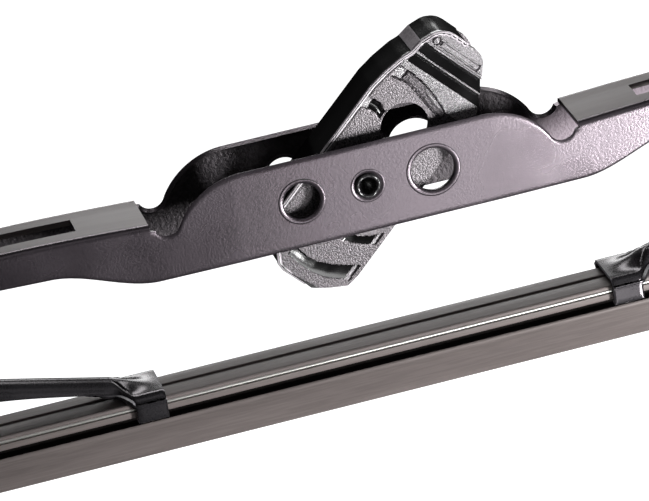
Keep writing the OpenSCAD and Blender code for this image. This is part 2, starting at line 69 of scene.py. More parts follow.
# The finishes. A colour of BladeColours is taken times low and times high, and the surface varies in between.
# rough is the roughness between two values, grain is (scale, height in mm, share), blotch is (scale, share),
# specks is (scale, rarity, size, colour), and sockets are constants of the shader itself.
FINISHES = {
    # Satin black coat on the outside of the bridge, with a fine mottle and a few pale chips
    "bridge coat": dict(colour="coat", low=1, high=1.9, rough=(0.23, 0.3), grain=(2600, 0.008, 0.5),
        blotch=(70, 0.35), specks=(420, 0.985, 0.16, (0.35, 0.33, 0.34)),
        sockets={"Specular IOR Level": 0.75, "Specular Tint": (1, 0.86, 0.96, 1)}),
    # The same coat on top, duller and streaked along the blade, and lighter in colour as painted light from
    # above
    "web coat with painted light": dict(colour="coat", low=(3.6, 3.5, 3), high=(5.4, 5.25, 4.5), rough=(0.42, 0.5),
        grain=(900, 0.003, 0.5), blotch=(160, 0.6), stretch=(0.04, 1, 1),
        sockets={"Specular IOR Level": 0.75, "Specular Tint": (1, 0.93, 0.92, 1)}),
    # Thicker crinkled coat on the inside of the bridge
    "crinkled coat": dict(colour="inner_coat", low=0.6, high=2.2, rough=(0.42, 0.55), grain=(1500, 0.06, 0.5),
        blotch=(90, 0.3), sockets={"Specular IOR Level": 0.4, "Specular Tint": (1, 0.9, 0.96, 1)}),
    # Glossy black coat on the rivets and end clips
    "rivet coat": dict(colour="lever_coat", low=1, high=1.6, rough=(0.2, 0.3), grain=(1900, 0.01, 0.5),
        blotch=(150, 0.3)),
    # Semi-gloss black coat on the levers and yokes
    "lever coat": dict(colour="lever_coat", low=1, high=1.8, rough=(0.22, 0.26), grain=(2600, 0.003, 0.5),
        blotch=(120, 0.3), specks=(500, 0.99, 0.18, (0.3, 0.29, 0.3)),
        sockets={"Specular IOR Level": 0.4, "Specular Tint": (1, 0.92, 0.98, 1)}),
    # Thin coat on the cut edges of the levers, lighter in colour as a painted highlight
    "cut edge": dict(colour="lever_coat", low=9, high=22.5, rough=(0.3, 0.4), grain=(2500, 0.01, 0.6),
        blotch=(300, 0.3)),
    # Black moulded plastic with a spark-eroded grain
    "adapter plastic": dict(colour="plastic", low=0.15, high=2.4, rough=(0.32, 0.4),
        grain=(3000, 0.035, 0.95), blotch=(160, 0.05),
        sockets={"Specular IOR Level": 0.8, "Specular Tint": (1, 0.92, 0.97, 1)}),
    # The same plastic where it is polished: on the web, the rim and the ramps of the grip
    "smooth plastic": dict(colour="plastic", low=0.09, high=0.117, rough=(0.14, 0.2),
        grain=(2500, 0.001, 0.3), blotch=(160, 0.2)),
    # The same plastic where its grain is finest, made lightest by a painted highlight: the grip's lip and the
    # facets
    "plastic with painted highlight": dict(colour="plastic", low=0.75, high=7.8, rough=(0.3, 0.38), grain=(4200, 0.05, 0.85),
        blotch=(160, 0.2), sockets={"Specular IOR Level": 0.9}),
    # The bright edge of the adapter: a painted highlight on its rim, its bead and the web's facet
    "plastic edge with painted highlight": dict(colour="plastic", low=11, high=17.6, rough=(0.3, 0.4), grain=(2500, 0.01, 0.8),
        blotch=(400, 0.4), sockets={"Specular IOR Level": 1.0}),
    # Plain black plastic of the liners
    "liner plastic": dict(colour="plastic", low=0.5, high=0.75, rough=(0.4, 0.5), grain=(1500, 0.01, 0.5),
        blotch=(150, 0.3)),
    # Satin black rubber with long faint streaks along the blade
    "squeegee rubber": dict(colour="rubber", low=1, high=1.5, rough=(0.36, 0.5), grain=(2200, 0.01, 0.35),
        blotch=(240, 0.5), stretch=(0.06, 1, 1),
        sockets={"Specular IOR Level": 0.25, "Specular Tint": (1, 0.93, 0.9, 1)}),
    # Matt rubber in the gap between the head and the lip, painted near black as the shade under the head
    "neck rubber in painted shade": dict(colour="rubber", low=0.07, high=0.105, rough=(0.8, 0.9), grain=(1500, 0.01, 0.5),
        blotch=(200, 0.3), sockets={"Specular IOR Level": 0.03}),
    # Bright rolled spring steel with fine lines along it
    "rail steel": dict(colour="rail", low=1, high=0.8, rough=(0.2, 0.34), grain=(2500, 0.004, 0.5),
        blotch=(300, 0.3), stretch=(0.02, 1, 1), sockets={"Metallic": 1.0}),
}
# Right of the window the crinkled coat is paler, a painted pool of light: where that starts, where it is
# full, its share, its colour
PAINTED_LIGHT_INSIDE = (34 * MM, 39 * MM, 0.8, (0.2, 0.165, 0.19, 1))


def middle(node):
    """Middle of a CAD node's box, in metres, as an array."""
    low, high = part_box(node)
    return (np.array(low) + np.array(high)) / 2


def box_size(node):
    """Size of a CAD node's box, in metres, as an array."""
    low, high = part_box(node)
    return np.array(high) - np.array(low)


class BladeSizes(bpy.types.PropertyGroup):
    """Sizes of the dressed pieces that the frame doesn't give."""

    sheet: bpy.props.FloatProperty(
        name="Bridge sheet", description="Thickness of the bridge's steel",
        default=1.1 * MM, unit="LENGTH", precision=5)
    bend: bpy.props.FloatProperty(
        name="Bend radius", description="Outside radius of the bridge's folds",
        default=1.1 * MM, unit="LENGTH", precision=5)
    edge: bpy.props.FloatProperty(
        name="Edge rounding", description="Rounding of cut steel edges",
        default=0.16 * MM, unit="LENGTH", precision=5)
    lever_edge: bpy.props.FloatProperty(
        name="Lever edge rounding", description="Rounding of the levers' and yokes' edges",
        default=0.26 * MM, unit="LENGTH", precision=5)
    lever_sheet: bpy.props.FloatProperty(
        name="Lever sheet", description="Thickness of the levers' steel as drawn",
        default=0.66 * MM, unit="LENGTH", precision=5)
    yoke_sheet: bpy.props.FloatProperty(
        name="Yoke sheet", description="Thickness of the yokes' steel as drawn",
        default=0.5 * MM, unit="LENGTH", precision=5)
    moulded_wall: bpy.props.FloatProperty(
        name="Moulded wall", description="Wall thickness of the adapter",
        default=1.25 * MM, unit="LENGTH", precision=5)
    rim: bpy.props.FloatProperty(
        name="Hole rim", description="Width of the rolled rim round a punched hole",
        default=0.75 * MM, unit="LENGTH", precision=5)
    rim_depth: bpy.props.FloatProperty(
        name="Hole rim depth", description="How far a hole's rim rolls inwards",
        default=0.4 * MM, unit="LENGTH", precision=5)


class BladeColours(bpy.types.PropertyGroup):
    """Colours of the finishes."""

    coat: bpy.props.FloatVectorProperty(
        name="Coat", description="Satin coat on the bridge", subtype="COLOR",
        default=(0.013, 0.011, 0.013))
    inner_coat: bpy.props.FloatVectorProperty(
        name="Inner coat", description="Thick coat inside the bridge", subtype="COLOR",
        default=(0.010, 0.009, 0.010))
    lever_coat: bpy.props.FloatVectorProperty(
        name="Lever coat", description="Glossier coat on levers and yokes", subtype="COLOR",
        default=(0.010, 0.0095, 0.0105))
    plastic: bpy.props.FloatVectorProperty(
        name="Adapter plastic", description="Grained plastic of the adapter", subtype="COLOR",
        default=(0.03, 0.0275, 0.0295))
    rubber: bpy.props.FloatVectorProperty(
        name="Rubber", description="Rubber of the squeegee", subtype="COLOR",
        default=(0.075, 0.064, 0.062))
    rail: bpy.props.FloatVectorProperty(
        name="Rail steel", description="Bright steel of the two rails", subtype="COLOR",
        default=(0.80, 0.79, 0.76))


class StudioSettings(bpy.types.PropertyGroup):
    """Camera and light of the stage."""

    azimuth: bpy.props.FloatProperty(
        name="Camera azimuth", description="Degrees round the blade, 0 from the front", default=-10.4)
    elevation: bpy.props.FloatProperty(
        name="Camera elevation", description="Degrees above the blade", default=24.0)
    roll: bpy.props.FloatProperty(
        name="Camera roll", description="Degrees by which the picture is turned", default=9.5)
    distance: bpy.props.FloatProperty(
        name="Camera distance", description="From the camera to the blade", default=0.9, unit="LENGTH")
    pixels_per_metre: bpy.props.FloatProperty(
        name="Picture scale", description="Picture width in pixels for one metre at the blade",
        default=5450.0)
    floor_drop: bpy.props.FloatProperty(
        name="Floor depth", description="From the adapter's rivet down to the floor", default=0.3,
        unit="LENGTH")


def sizes():
    """The scene's blade sizes."""
    return bpy.context.scene.blade_sizes


def colours():
    """The scene's blade colours."""
    return bpy.context.scene.blade_colours


def grid_faces(rows, columns, wrap=False):
    """Quads of a grid whose points are listed row by row; wrap joins the last column to the first."""
    row, column = np.meshgrid(np.arange(rows - 1), np.arange(columns if wrap else columns - 1), indexing="ij")
    a = row * columns + column
    b = row * columns + (column + 1) % columns
    return np.stack([a, b, b + columns, a + columns], axis=-1).reshape(-1, 4)


def new_piece(name, points, faces, body, materials, replaces=()):
    """Makes a mesh from points and faces, drops points that no face uses, and lets it ride on a body."""
    corners = [np.ravel(f) for f in faces]
    used, order = np.unique(np.concatenate(corners), return_inverse=True)
    kept = [f.tolist() for f in np.split(order, np.cumsum([len(f) for f in corners])[:-1])]
    mesh = bpy.data.meshes.new(name)
    mesh.from_pydata(np.asarray(points)[used].tolist(), [], kept)
    mesh.shade_smooth()
    mesh.update()
    return dress(bpy.data.objects.new(name, mesh), body, materials, replaces)


def dress(obj, body, materials, replaces=()):
    """Links an object, gives it its materials, hides the CAD parts it replaces and hangs it on its body."""
    bpy.context.scene.collection.objects.link(obj)
    obj.data.materials.clear()
    for material in materials:
        obj.data.materials.append(material)
    if replaces:
        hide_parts(*replaces)
    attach(obj, body)
    return obj


def round_edges(obj, width, angle):
    """Rounds every edge that is sharper than the angle, and keeps the flat faces' shading flat."""
    bevel = obj.modifiers.new("rounded edges", "BEVEL")
    bevel.limit_method = "ANGLE"
    bevel.angle_limit = np.radians(angle)
    bevel.width = width
    bevel.segments = 2
    bevel.harden_normals = True


def fold(obj, thickness, inner, rim=0):
    """Gives a skin its thickness inwards. Inner faces and cut edges take materials further down the list."""
    wall = obj.modifiers.new("sheet", "SOLIDIFY")
    wall.thickness = thickness
    wall.offset = -1
    wall.use_even_offset = False
    wall.material_offset = inner
    wall.material_offset_rim = rim


def merged_copy(node, material, width, body):
    """Copy of a CAD node with its doubled points merged, its flat faces joined and its edges rounded."""
    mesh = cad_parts[node].data.copy()
    mesh.name = f"{node}_dressed"
    work = bmesh.new()
    work.from_mesh(mesh)
    bmesh.ops.remove_doubles(work, verts=work.verts, dist=1e-6)
    bmesh.ops.dissolve_limit(work, angle_limit=np.radians(0.6), verts=work.verts, edges=work.edges,
        delimit={"NORMAL"})
    for face in work.faces:
        face.smooth = True
    for edge in work.edges:
        edge.smooth = True
    work.to_mesh(mesh)
    work.free()
    for custom in ("custom_normal", "sharp_face", "sharp_edge"):
        if custom in mesh.attributes:
            mesh.attributes.remove(mesh.attributes[custom])
    mesh.shade_smooth()
    mesh.set_sharp_from_angle(angle=np.radians(28))
    round_edges(dress(bpy.data.objects.new(mesh.name, mesh), body, [material], [node]), width, 40)


def new_group(name, inputs, outputs):
    """Empty shader node group with float or vector sockets. Returns it with its two end nodes."""
    group = bpy.data.node_groups.new(name, "ShaderNodeTree")
    for socket, kind, value in inputs:
        item = group.interface.new_socket(socket, in_out="INPUT", socket_type=f"NodeSocket{kind}")
        if value is not None:
            item.default_value = value
    for socket, kind in outputs:
        group.interface.new_socket(socket, in_out="OUTPUT", socket_type=f"NodeSocket{kind}")
    return group, group.nodes.new("NodeGroupInput"), group.nodes.new("NodeGroupOutput")


def add(tree, kind, settings=None, **inputs):
    """Adds a node, sets its properties, and sets or links its inputs. A key like i0 is an input's number."""
    node = tree.nodes.new(f"ShaderNode{kind}")
    for key, value in (settings or {}).items():
        setattr(node, key, value)
    for key, value in inputs.items():
        socket = node.inputs[int(key[1:]) if key[1:].isdigit() else key.replace("_", " ")]
        if isinstance(value, bpy.types.NodeSocket):
            tree.links.new(value, socket)
        else:
            socket.default_value = value
    return node


def math(tree, operation, a, b=0.0, c=0.0, clamp=False):
    """Result of a math node."""
    return add(tree, "Math", {"operation": operation, "use_clamp": clamp}, i0=a, i1=b, i2=c).outputs[0]


def grain_group():
    """Fine grain: noise of the given scale, as a shade between 0 and 1."""
    group, start, end = new_group("fine grain", [("Vector", "Vector", None), ("Scale", "Float", 1000.0)],
        [("Shade", "Float")])
    fine = add(group, "TexNoise", None, Vector=start.outputs["Vector"], Scale=start.outputs["Scale"],
        Detail=3.0)
    sharp = add(group, "MapRange", None, Value=fine.outputs[0], From_Min=0.4, From_Max=0.6)
    group.links.new(sharp.outputs[0], end.inputs["Shade"])
    return group


def blotch_group():
    """Large soft blotches: wide noise, sharpened between two levels into a mask."""
    group, start, end = new_group("soft blotches", [("Vector", "Vector", None), ("Scale", "Float", 60.0),
        ("Low", "Float", 0.35), ("High", "Float", 0.65)], [("Mask", "Float")])
    wide = add(group, "TexNoise", None, Vector=start.outputs["Vector"], Scale=start.outputs["Scale"],
        Detail=2.0)
    ramp = add(group, "MapRange", {"interpolation_type": "SMOOTHSTEP"}, Value=wide.outputs[0],
        From_Min=start.outputs["Low"], From_Max=start.outputs["High"])
    group.links.new(ramp.outputs[0], end.inputs["Mask"])
    return group


def speck_group():
    """Sparse specks: cells whose random colour passes a level, drawn as small round dots."""
    group, start, end = new_group("sparse specks", [("Vector", "Vector", None), ("Scale", "Float", 300.0),
        ("Rarity", "Float", 0.9), ("Size", "Float", 0.2)], [("Mask", "Float")])
    cells = add(group, "TexVoronoi", None, Vector=start.outputs["Vector"], Scale=start.outputs["Scale"])
    chance = add(group, "SeparateColor", None, Color=cells.outputs["Color"]).outputs[0]
    chosen = math(group, "GREATER_THAN", chance, start.outputs["Rarity"])
    near = math(group, "LESS_THAN", cells.outputs["Distance"], start.outputs["Size"])
    group.links.new(math(group, "MULTIPLY", chosen, near), end.inputs["Mask"])
    return group


def shared(make):
    """The node group that a function makes, made once."""
    key = make.__name__
    if key not in shared.made:
        shared.made[key] = make()
    return shared.made[key]


shared.made = {}


def place(tree, make, **inputs):
    """Places a shared node group in a material."""
    node = tree.nodes.new("ShaderNodeGroup")
    node.node_tree = shared(make)
    for key, value in inputs.items():
        if isinstance(value, bpy.types.NodeSocket):
            tree.links.new(value, node.inputs[key])
        else:
            node.inputs[key].default_value = value
    return node


def finish(name):
    """The material of a name in the table of finishes, made once: a colour that grain and blotches move from
    low to high, a roughness that follows the blotches, fine bumps, and pale specks where the coat is chipped.
    """
    if name in bpy.data.materials:
        return bpy.data.materials[name]
    look = FINISHES[name]
    material = bpy.data.materials.new(name)
    material.use_nodes = True
    tree = material.node_tree
    surface = tree.nodes["Principled BSDF"]
    colour = np.array(getattr(colours(), look["colour"]))
    place_on = add(tree, "TexCoord").outputs["Object"]
    place_on = add(tree, "Mapping", None, Vector=place_on, Scale=look.get("stretch", (1, 1, 1))).outputs[0]
    scale, height, grain_share = look["grain"]
    fine = place(tree, grain_group, Vector=place_on, Scale=scale)
    wide = place(tree, blotch_group, Vector=place_on, Scale=look["blotch"][0])
    share = math(tree, "ADD", math(tree, "MULTIPLY", fine.outputs["Shade"], grain_share),
        math(tree, "MULTIPLY", wide.outputs["Mask"], look["blotch"][1]), clamp=True)
    shade = add(tree, "Mix", {"data_type": "RGBA"}, i0=share, i6=(*(colour * look["low"]), 1),
        i7=(*(colour * look["high"]), 1)).outputs[2]
    if "specks" in look:
        scale, rarity, size, pale = look["specks"]
        dots = place(tree, speck_group, Vector=place_on, Scale=scale, Rarity=rarity, Size=size)
        shade = add(tree, "Mix", {"data_type": "RGBA"}, i0=dots.outputs["Mask"], i6=shade,
            i7=(*pale, 1)).outputs[2]
    tree.links.new(shade, surface.inputs["Base Color"])
    low, high = look["rough"]
    rough = add(tree, "MapRange", None, Value=wide.outputs["Mask"], To_Min=low, To_Max=high)
    tree.links.new(rough.outputs[0], surface.inputs["Roughness"])
    bump = add(tree, "Bump", None, Strength=1.0, Distance=height * MM, Height=fine.outputs["Shade"])
    tree.links.new(bump.outputs[0], surface.inputs["Normal"])
    for socket, value in look.get("sockets", {}).items():
        surface.inputs[socket].default_value = value
    return material


def inner_coat():
    """The crinkled coat, with a painted pool of light (a paler colour on its stretch right of the window)
    added to the colour.
    """
    material = finish("crinkled coat")
    tree = material.node_tree
    base = tree.nodes["Principled BSDF"].inputs["Base Color"]
    start, end, share, pale = PAINTED_LIGHT_INSIDE
    along = add(tree, "SeparateXYZ", None, Vector=add(tree, "TexCoord").outputs["Object"]).outputs["X"]
    at_right = add(tree, "MapRange", {"interpolation_type": "SMOOTHSTEP"}, Value=along, From_Min=start,
        From_Max=end).outputs[0]
    # Mixes in the paler colour on the right: painted light
    mix = add(tree, "Mix", {"data_type": "RGBA"}, i0=math(tree, "MULTIPLY", at_right, share),
        i6=base.links[0].from_socket, i7=pale)
    tree.links.new(mix.outputs[2], base)
    return material


def ease(x, a, b, leave, arrive):
    """Cubic between points a and b at the places x, which leaves and arrives with the given slopes:
    the usual blend of ends and slopes by (2t^3 - 3t^2 + 1) and its partners, with t from 0 to 1."""
    span = b[0] - a[0]
    t = np.clip((x - a[0]) / span, 0, 1)
    return (a[1] * (1 - 3 * t**2 + 2 * t**3) + span * leave * (t - 2 * t**2 + t**3)
        + b[1] * (3 * t**2 - 2 * t**3) + span * arrive * (t**3 - t**2))


def soft(value, low, high):
    """Smooth step: 0 up to low, 1 from high on, and 3t^2 - 2t^3 between them."""
    t = np.clip((value - low) / (high - low), 0, 1)
    return t * t * (3 - 2 * t)


def extruded(profile, places):
    """A closed profile of (y, z) points carried along the blade through the places, with flat ends.
    Point = (place, y, z). Returns points and faces."""
    profile, places = np.array(profile), np.array(places)
    count, rows = len(profile), len(places)
    points = np.concatenate([np.repeat(places, count)[:, None], np.tile(profile, (rows, 1))], axis=1)
    sides = grid_faces(rows, count, wrap=True)
    first, last = np.arange(count)[::-1], np.arange(count) + (rows - 1) * count
    return points, list(sides) + [first, last]


def rounded(corners, segments=4):
    """Closed profile with round corners: each corner (y, z, radius) becomes an arc that touches both its
    sides, the curve of a quadratic spline with the corner as its middle point."""
    corners = np.array(corners, dtype=float)
    before, after = np.roll(corners, 1, axis=0), np.roll(corners, -1, axis=0)
    out = []
    for corner, last, following in zip(corners, before, after):
        here, radius = corner[:2], corner[2]
        to_last, to_next = last[:2] - here, following[:2] - here
        reach_last = min(radius, 0.48 * np.hypot(*to_last))
        reach_next = min(radius, 0.48 * np.hypot(*to_next))
        a = here + to_last / np.hypot(*to_last) * reach_last
        b = here + to_next / np.hypot(*to_next) * reach_next
        t = np.linspace(0, 1, segments + 1)[:, None]
        arc = (1 - t) ** 2 * a + 2 * t * (1 - t) * here + t**2 * b
        out.append(arc if radius > 0 else here[None, :])
    return np.concatenate(out)


# Rows of the bridge's grid across one plate, and across one bend
PLATE_ROWS, BEND_ROWS = 34, 6


class BridgeShape:
    """Outline of the bridge, in metres: its top and bottom lines and half width at a place along the blade.
    The ends, the rivets and the overall height come from the frame."""

    def __init__(self):
        low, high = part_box("bridge")
        self.end = high.x
        self.lever = middle("lever_rivet_right")
        self.hump = high.z
        self.half = high.y
        self.end_half = box_size("lever_rivet_right")[1] / 2 - 1.1 * MM
        self.belly = -9.05 * MM
        self.window = 41.2 * MM
        self.web = 2.2 * MM
        self.crest = (70 * MM, self.web + 1.1 * MM)
        self.hump_radius = 14.5 * MM
        self.hump_middle = (23 * MM, self.hump - self.hump_radius)
        self.notch_radius = 2.6 * MM
        self.notch_middle = (self.window - 3.3 * MM, self.web - 0.1 * MM)
        self.ear = self.end - self.lever[0]
        self.ear_top = self.lever[2] + 5.1 * MM
        self.slot = (54 * MM, 98 * MM, 2.8 * MM)

    def top(self, x):
        """Top line: level, then the hump's arc, the notch's arc, and two easings down to the ear."""
        x = np.abs(x)
        hump_x, hump_z = self.hump_middle
        notch_x, notch_z = self.notch_middle
        r = self.hump_radius
        arc = hump_z + np.sqrt(np.maximum(r**2 - np.maximum(x - hump_x, 0) ** 2, 0))
        dip = notch_z - np.sqrt(np.maximum(self.notch_radius**2 - (x - notch_x) ** 2, 0))
        left = notch_x + self.notch_radius * np.cos(np.radians(207))
        right = notch_x + self.notch_radius * np.cos(np.radians(335))
        right_z = notch_z + self.notch_radius * np.sin(np.radians(335))
        rise = right_z + (self.web - right_z) * np.clip((x - right) / (self.window - right), 0, 1)
        web = np.where(x < self.crest[0], ease(x, (self.window, self.web), self.crest, 0.06, 0),
            ease(x, self.crest, (self.end, self.ear_top), 0, -0.22))
        return np.select([x < left, x < right, x < self.window], [arc, dip, rise], web)

    def bottom(self, x):
        """Bottom line: level, an easing up to the waist, an easing down to the ear, and the ear's arc."""
        x = np.abs(x)
        waist = (60 * MM, self.crest[1] - 7.1 * MM)
        waist_end = (71 * MM, self.crest[1] - 6.7 * MM)
        lever_x, lever_z = self.lever[0], self.lever[2]
        first = ease(x, (self.window - 0.4 * MM, self.belly), waist, 0, 0.08)
        flat = waist[1] + (waist_end[1] - waist[1]) * (x - waist[0]) / (waist_end[0] - waist[0])
        second = ease(x, waist_end, (lever_x, lever_z - self.ear), 0, -0.2)
        ear = lever_z - np.sqrt(np.maximum(self.ear**2 - (x - lever_x) ** 2, 0))
        return np.select([x < self.window - 0.4 * MM, x < waist[0], x < waist_end[0], x < lever_x],
            [np.full_like(x, self.belly), first, flat, second], ear)

    def half_width(self, x):
        """Half of the outside width, in straight stretches."""
        at = np.array([0, 25, 44.8, 71]) * MM
        wide = np.array([0, 0, -0.4, -0.7]) * MM + self.half
        at = np.append(at, [self.lever[0] - 6 * MM, self.end])
        wide = np.append(wide, [self.end_half, self.end_half])
        return np.interp(np.abs(x), at, wide)

    def stations(self):
        """Places along the blade, close together on the arcs and in the window, mirrored about the middle."""
        hump_x = self.hump_middle[0] + self.hump_radius * np.sin(np.radians(np.arange(0, 60, 2.5)))
        notch_x = self.notch_middle[0] + self.notch_radius * np.cos(np.radians(np.linspace(207, 335, 21)))
        ear_x = self.lever[0] + self.ear * np.sin(np.radians(np.linspace(0, 90, 10)))
        slot = [self.slot[0] + d * MM for d in (-0.8, 0, 0.1, 0.4, 0.8, 1.4)]
        slot += [self.slot[1] + d * MM for d in (-1.4, -0.8, -0.4, -0.1, 0, 0.8)]
        right = np.concatenate([np.arange(0.25, 23, 0.5) * MM, hump_x, notch_x,
            [self.window], np.arange(42, 53, 1.2) * MM, slot, np.arange(57, 96, 1.5) * MM,
            np.arange(100, 139, 1.5) * MM, ear_x])
        right = np.unique(np.round(right, 7))
        return np.concatenate([-right[::-1], right])


def bridge_shell(shape):
    """Outer face of the folded bridge as one grid. Along the blade run the stations. Across it run the front
    plate from its bottom line up, a quarter turn of the bend, the top web, the other bend and the back plate.
    The web's and bends' faces are left out in the window and in the slots.
    Returns points, faces and, for each point, its place across."""
    bend = sizes().bend
    x = shape.stations()[:, None]
    top, low, half = shape.top(x), shape.bottom(x), shape.half_width(x)
    open_window = np.abs(x) < shape.window - 1e-7
    up = np.linspace(0, 1, PLATE_ROWS)[None, :]
    plate_top = np.where(open_window, top, top - bend)
    plate_z = low + (plate_top - low) * up
    roll = 0.22 * MM * np.clip(1 - (plate_top - plate_z) / (0.9 * MM), 0, 1) ** 2 * open_window
    roll = roll + 0.15 * MM * np.clip(1 - (plate_z - low) / (0.7 * MM), 0, 1) ** 2
    plate_y = -half + roll
    angle = np.radians(np.linspace(0, 90, BEND_ROWS + 1)[1:])[None, :]
    turn_y = -half + bend * (1 - np.cos(angle))
    turn_z = top - bend + bend * np.sin(angle)
    slot_half = shape.slot[2]
    steps = np.array([-1, -0.88, -0.7, -0.5, -0.25, 0, 0.25, 0.5, 0.7, 0.88, 1]) * slot_half
    side = np.array([0.25, 0.5, 0.75])
    flat = half - bend
    left = -flat + (flat - slot_half) * side[None, :]
    web_y = np.concatenate([left, np.repeat(steps[None, :], len(x), 0), -left[:, ::-1]], axis=1)
    web_z = np.repeat(top, web_y.shape[1], 1)
    ys = np.concatenate([plate_y, turn_y, web_y, -turn_y[:, ::-1], -plate_y[:, ::-1]], axis=1)
    zs = np.concatenate([plate_z, turn_z, web_z, turn_z[:, ::-1], plate_z[:, ::-1]], axis=1)
    xs = np.repeat(x, ys.shape[1], 1)
    rows, columns = ys.shape
    points = np.stack([xs, ys, zs], -1).reshape(-1, 3)
    faces = grid_faces(rows, columns)[:, ::-1]
    middles = points[faces].mean(axis=1)
    place_across = np.tile(np.arange(columns), rows)
    across = place_across[faces].mean(axis=1)
    in_web = (across > PLATE_ROWS - 1) & (across < columns - PLATE_ROWS)
    in_slot = (in_web & (np.abs(middles[:, 1]) < slot_half) & (np.abs(middles[:, 0]) > shape.slot[0])
        & (np.abs(middles[:, 0]) < shape.slot[1]))
    faces = faces[~(in_web & (np.abs(middles[:, 0]) < shape.window)) & ~in_slot]
    return points, faces, place_across


def punch(points, faces, wanted, centre, radius):
    """Cuts a round hole across the blade: drops the wanted faces whose middle lies within the radius of the
    centre, and moves the points of the jagged cut straight out or in, onto the circle."""
    away = points[:, [0, 2]] - np.array(centre)
    middles = points[faces].mean(axis=1)[:, [0, 2]] - np.array(centre)
    cut = wanted[faces].all(axis=1) & (np.hypot(*middles.T) < radius)
    rim = np.intersect1d(faces[cut], faces[~cut])
    points[np.ix_(rim, [0, 2])] = np.array(centre) + away[rim] * (radius / np.hypot(*away[rim].T))[:, None]
    return faces[~cut]


def walled(points, inside, faces):
    """Closed shell: the outer faces, the same faces turned round on the inside points, and a strip of quads
    along every open edge, which is an edge that only one face uses."""
    count = len(points)
    a, b = faces.ravel(), np.roll(faces, -1, axis=1).ravel()
    alone = ~np.isin(a * count + b, b * count + a)
    a, b = a[alone], b[alone]
    rim = np.stack([b, a, a + count, b + count], axis=1)
    return np.concatenate([points, inside]), np.concatenate([faces, faces[:, ::-1] + count, rim])


def ring(profile, turns=96, wobble=None):
    """Solid ring turned about the Y axis through the origin. The profile is a closed loop of (radius, y)
    points, and a wobble function of the angle may stretch it. Point = (r cos a, y, r sin a)."""
    angle = np.linspace(0, 2 * np.pi, turns, endpoint=False)[:, None]
    r, y = np.array(profile).T[:, None, :]
    r = np.repeat(r, turns, 0)
    y = np.repeat(y, turns, 0)
    if wobble:
        r, y = wobble(angle, r, y)
    points = np.stack([r * np.cos(angle), y, r * np.sin(angle)], -1).reshape(-1, 3)
    count = len(profile)
    faces = grid_faces(turns, count, wrap=True)
    seam = np.arange(count)
    last = (turns - 1) * count
    seam_faces = np.stack([last + seam, last + (seam + 1) % count, (seam + 1) % count, seam], -1)
    return points, np.concatenate([faces, seam_faces])


def hole_rim(name, x, side, radius, half, material):
    """Rolled rim of a punched hole: its wall, then a quarter ellipse out to the plate's face."""
    sheet, wide, deep = sizes().sheet, sizes().rim, sizes().rim_depth
    turn = np.radians(np.linspace(0, 90, 9))
    outer = radius + wide
    roll = [(radius + wide * (1 - np.cos(t)), deep * (1 - np.sin(t)) - 0.01 * MM) for t in turn]
    profile = [(outer + 0.25 * MM, sheet - 0.05 * MM), (radius + 0.15 * MM, sheet - 0.02 * MM),
        (radius, sheet - 0.15 * MM)] + roll + [(outer + 0.3 * MM, -0.004 * MM), (outer + 0.3 * MM, 0.05 * MM)]
    points, faces = ring([(r, y) for r, y in profile])
    points[:, 1] = side * (half - points[:, 1])
    points[:, 0] += x
    if side > 0:
        faces = faces[:, ::-1]
    return new_piece(name, points, faces, "bridge", [material])


class WIPER_OT_bridge(bpy.types.Operator):
    """Folded bridge with its window, slots, punched holes and their rolled rims"""

    bl_idname = "wiper.bridge"
    bl_label = "Bridge"

    def execute(self, context):
        shape = BridgeShape()
        coated, crinkled, web = finish("bridge coat"), inner_coat(), finish("web coat with painted light")
        points, faces, across = bridge_shell(shape)
        last = across.max()
        front, back = across < PLATE_ROWS, across > last - PLATE_ROWS
        wide = sizes().rim
        holes = [("left", -12.6 * MM, 3.45 * MM, 3.45 * MM), ("right", 12.6 * MM, 4.15 * MM, 5.0 * MM)]
        for name, x, front_radius, back_radius in holes:
            faces = punch(points, faces, front, (x, 0), front_radius + wide)
            faces = punch(points, faces, back, (x, 0), back_radius + wide)
        faces = punch(points, faces, front, (0, 0), 3.0 * MM)
        faces = punch(points, faces, back, (0, 0), 2.12 * MM)
        shell = new_piece("bridge_shell", points, faces, "bridge",
            [coated, crinkled, web, crinkled], ["bridge"])
        bend_end = PLATE_ROWS + BEND_ROWS - 1
        face_across = across[faces].mean(axis=1)
        on_web = (face_across > bend_end) & (face_across < last - bend_end)
        # The web takes the web coat, whose lighter colour is painted light from above
        shell.data.polygons.foreach_set("material_index", np.where(on_web, 2, 0).astype(np.int32))
        fold(shell, sizes().sheet, 1)
        round_edges(shell, sizes().edge, 45)
        for name, x, front_radius, back_radius in holes:
            hole_rim(f"hole_rim_{name}_front", x, -1, front_radius, shape.half, coated)
            hole_rim(f"hole_rim_{name}_back", x, 1, back_radius, shape.half, coated)
        return {"FINISHED"}


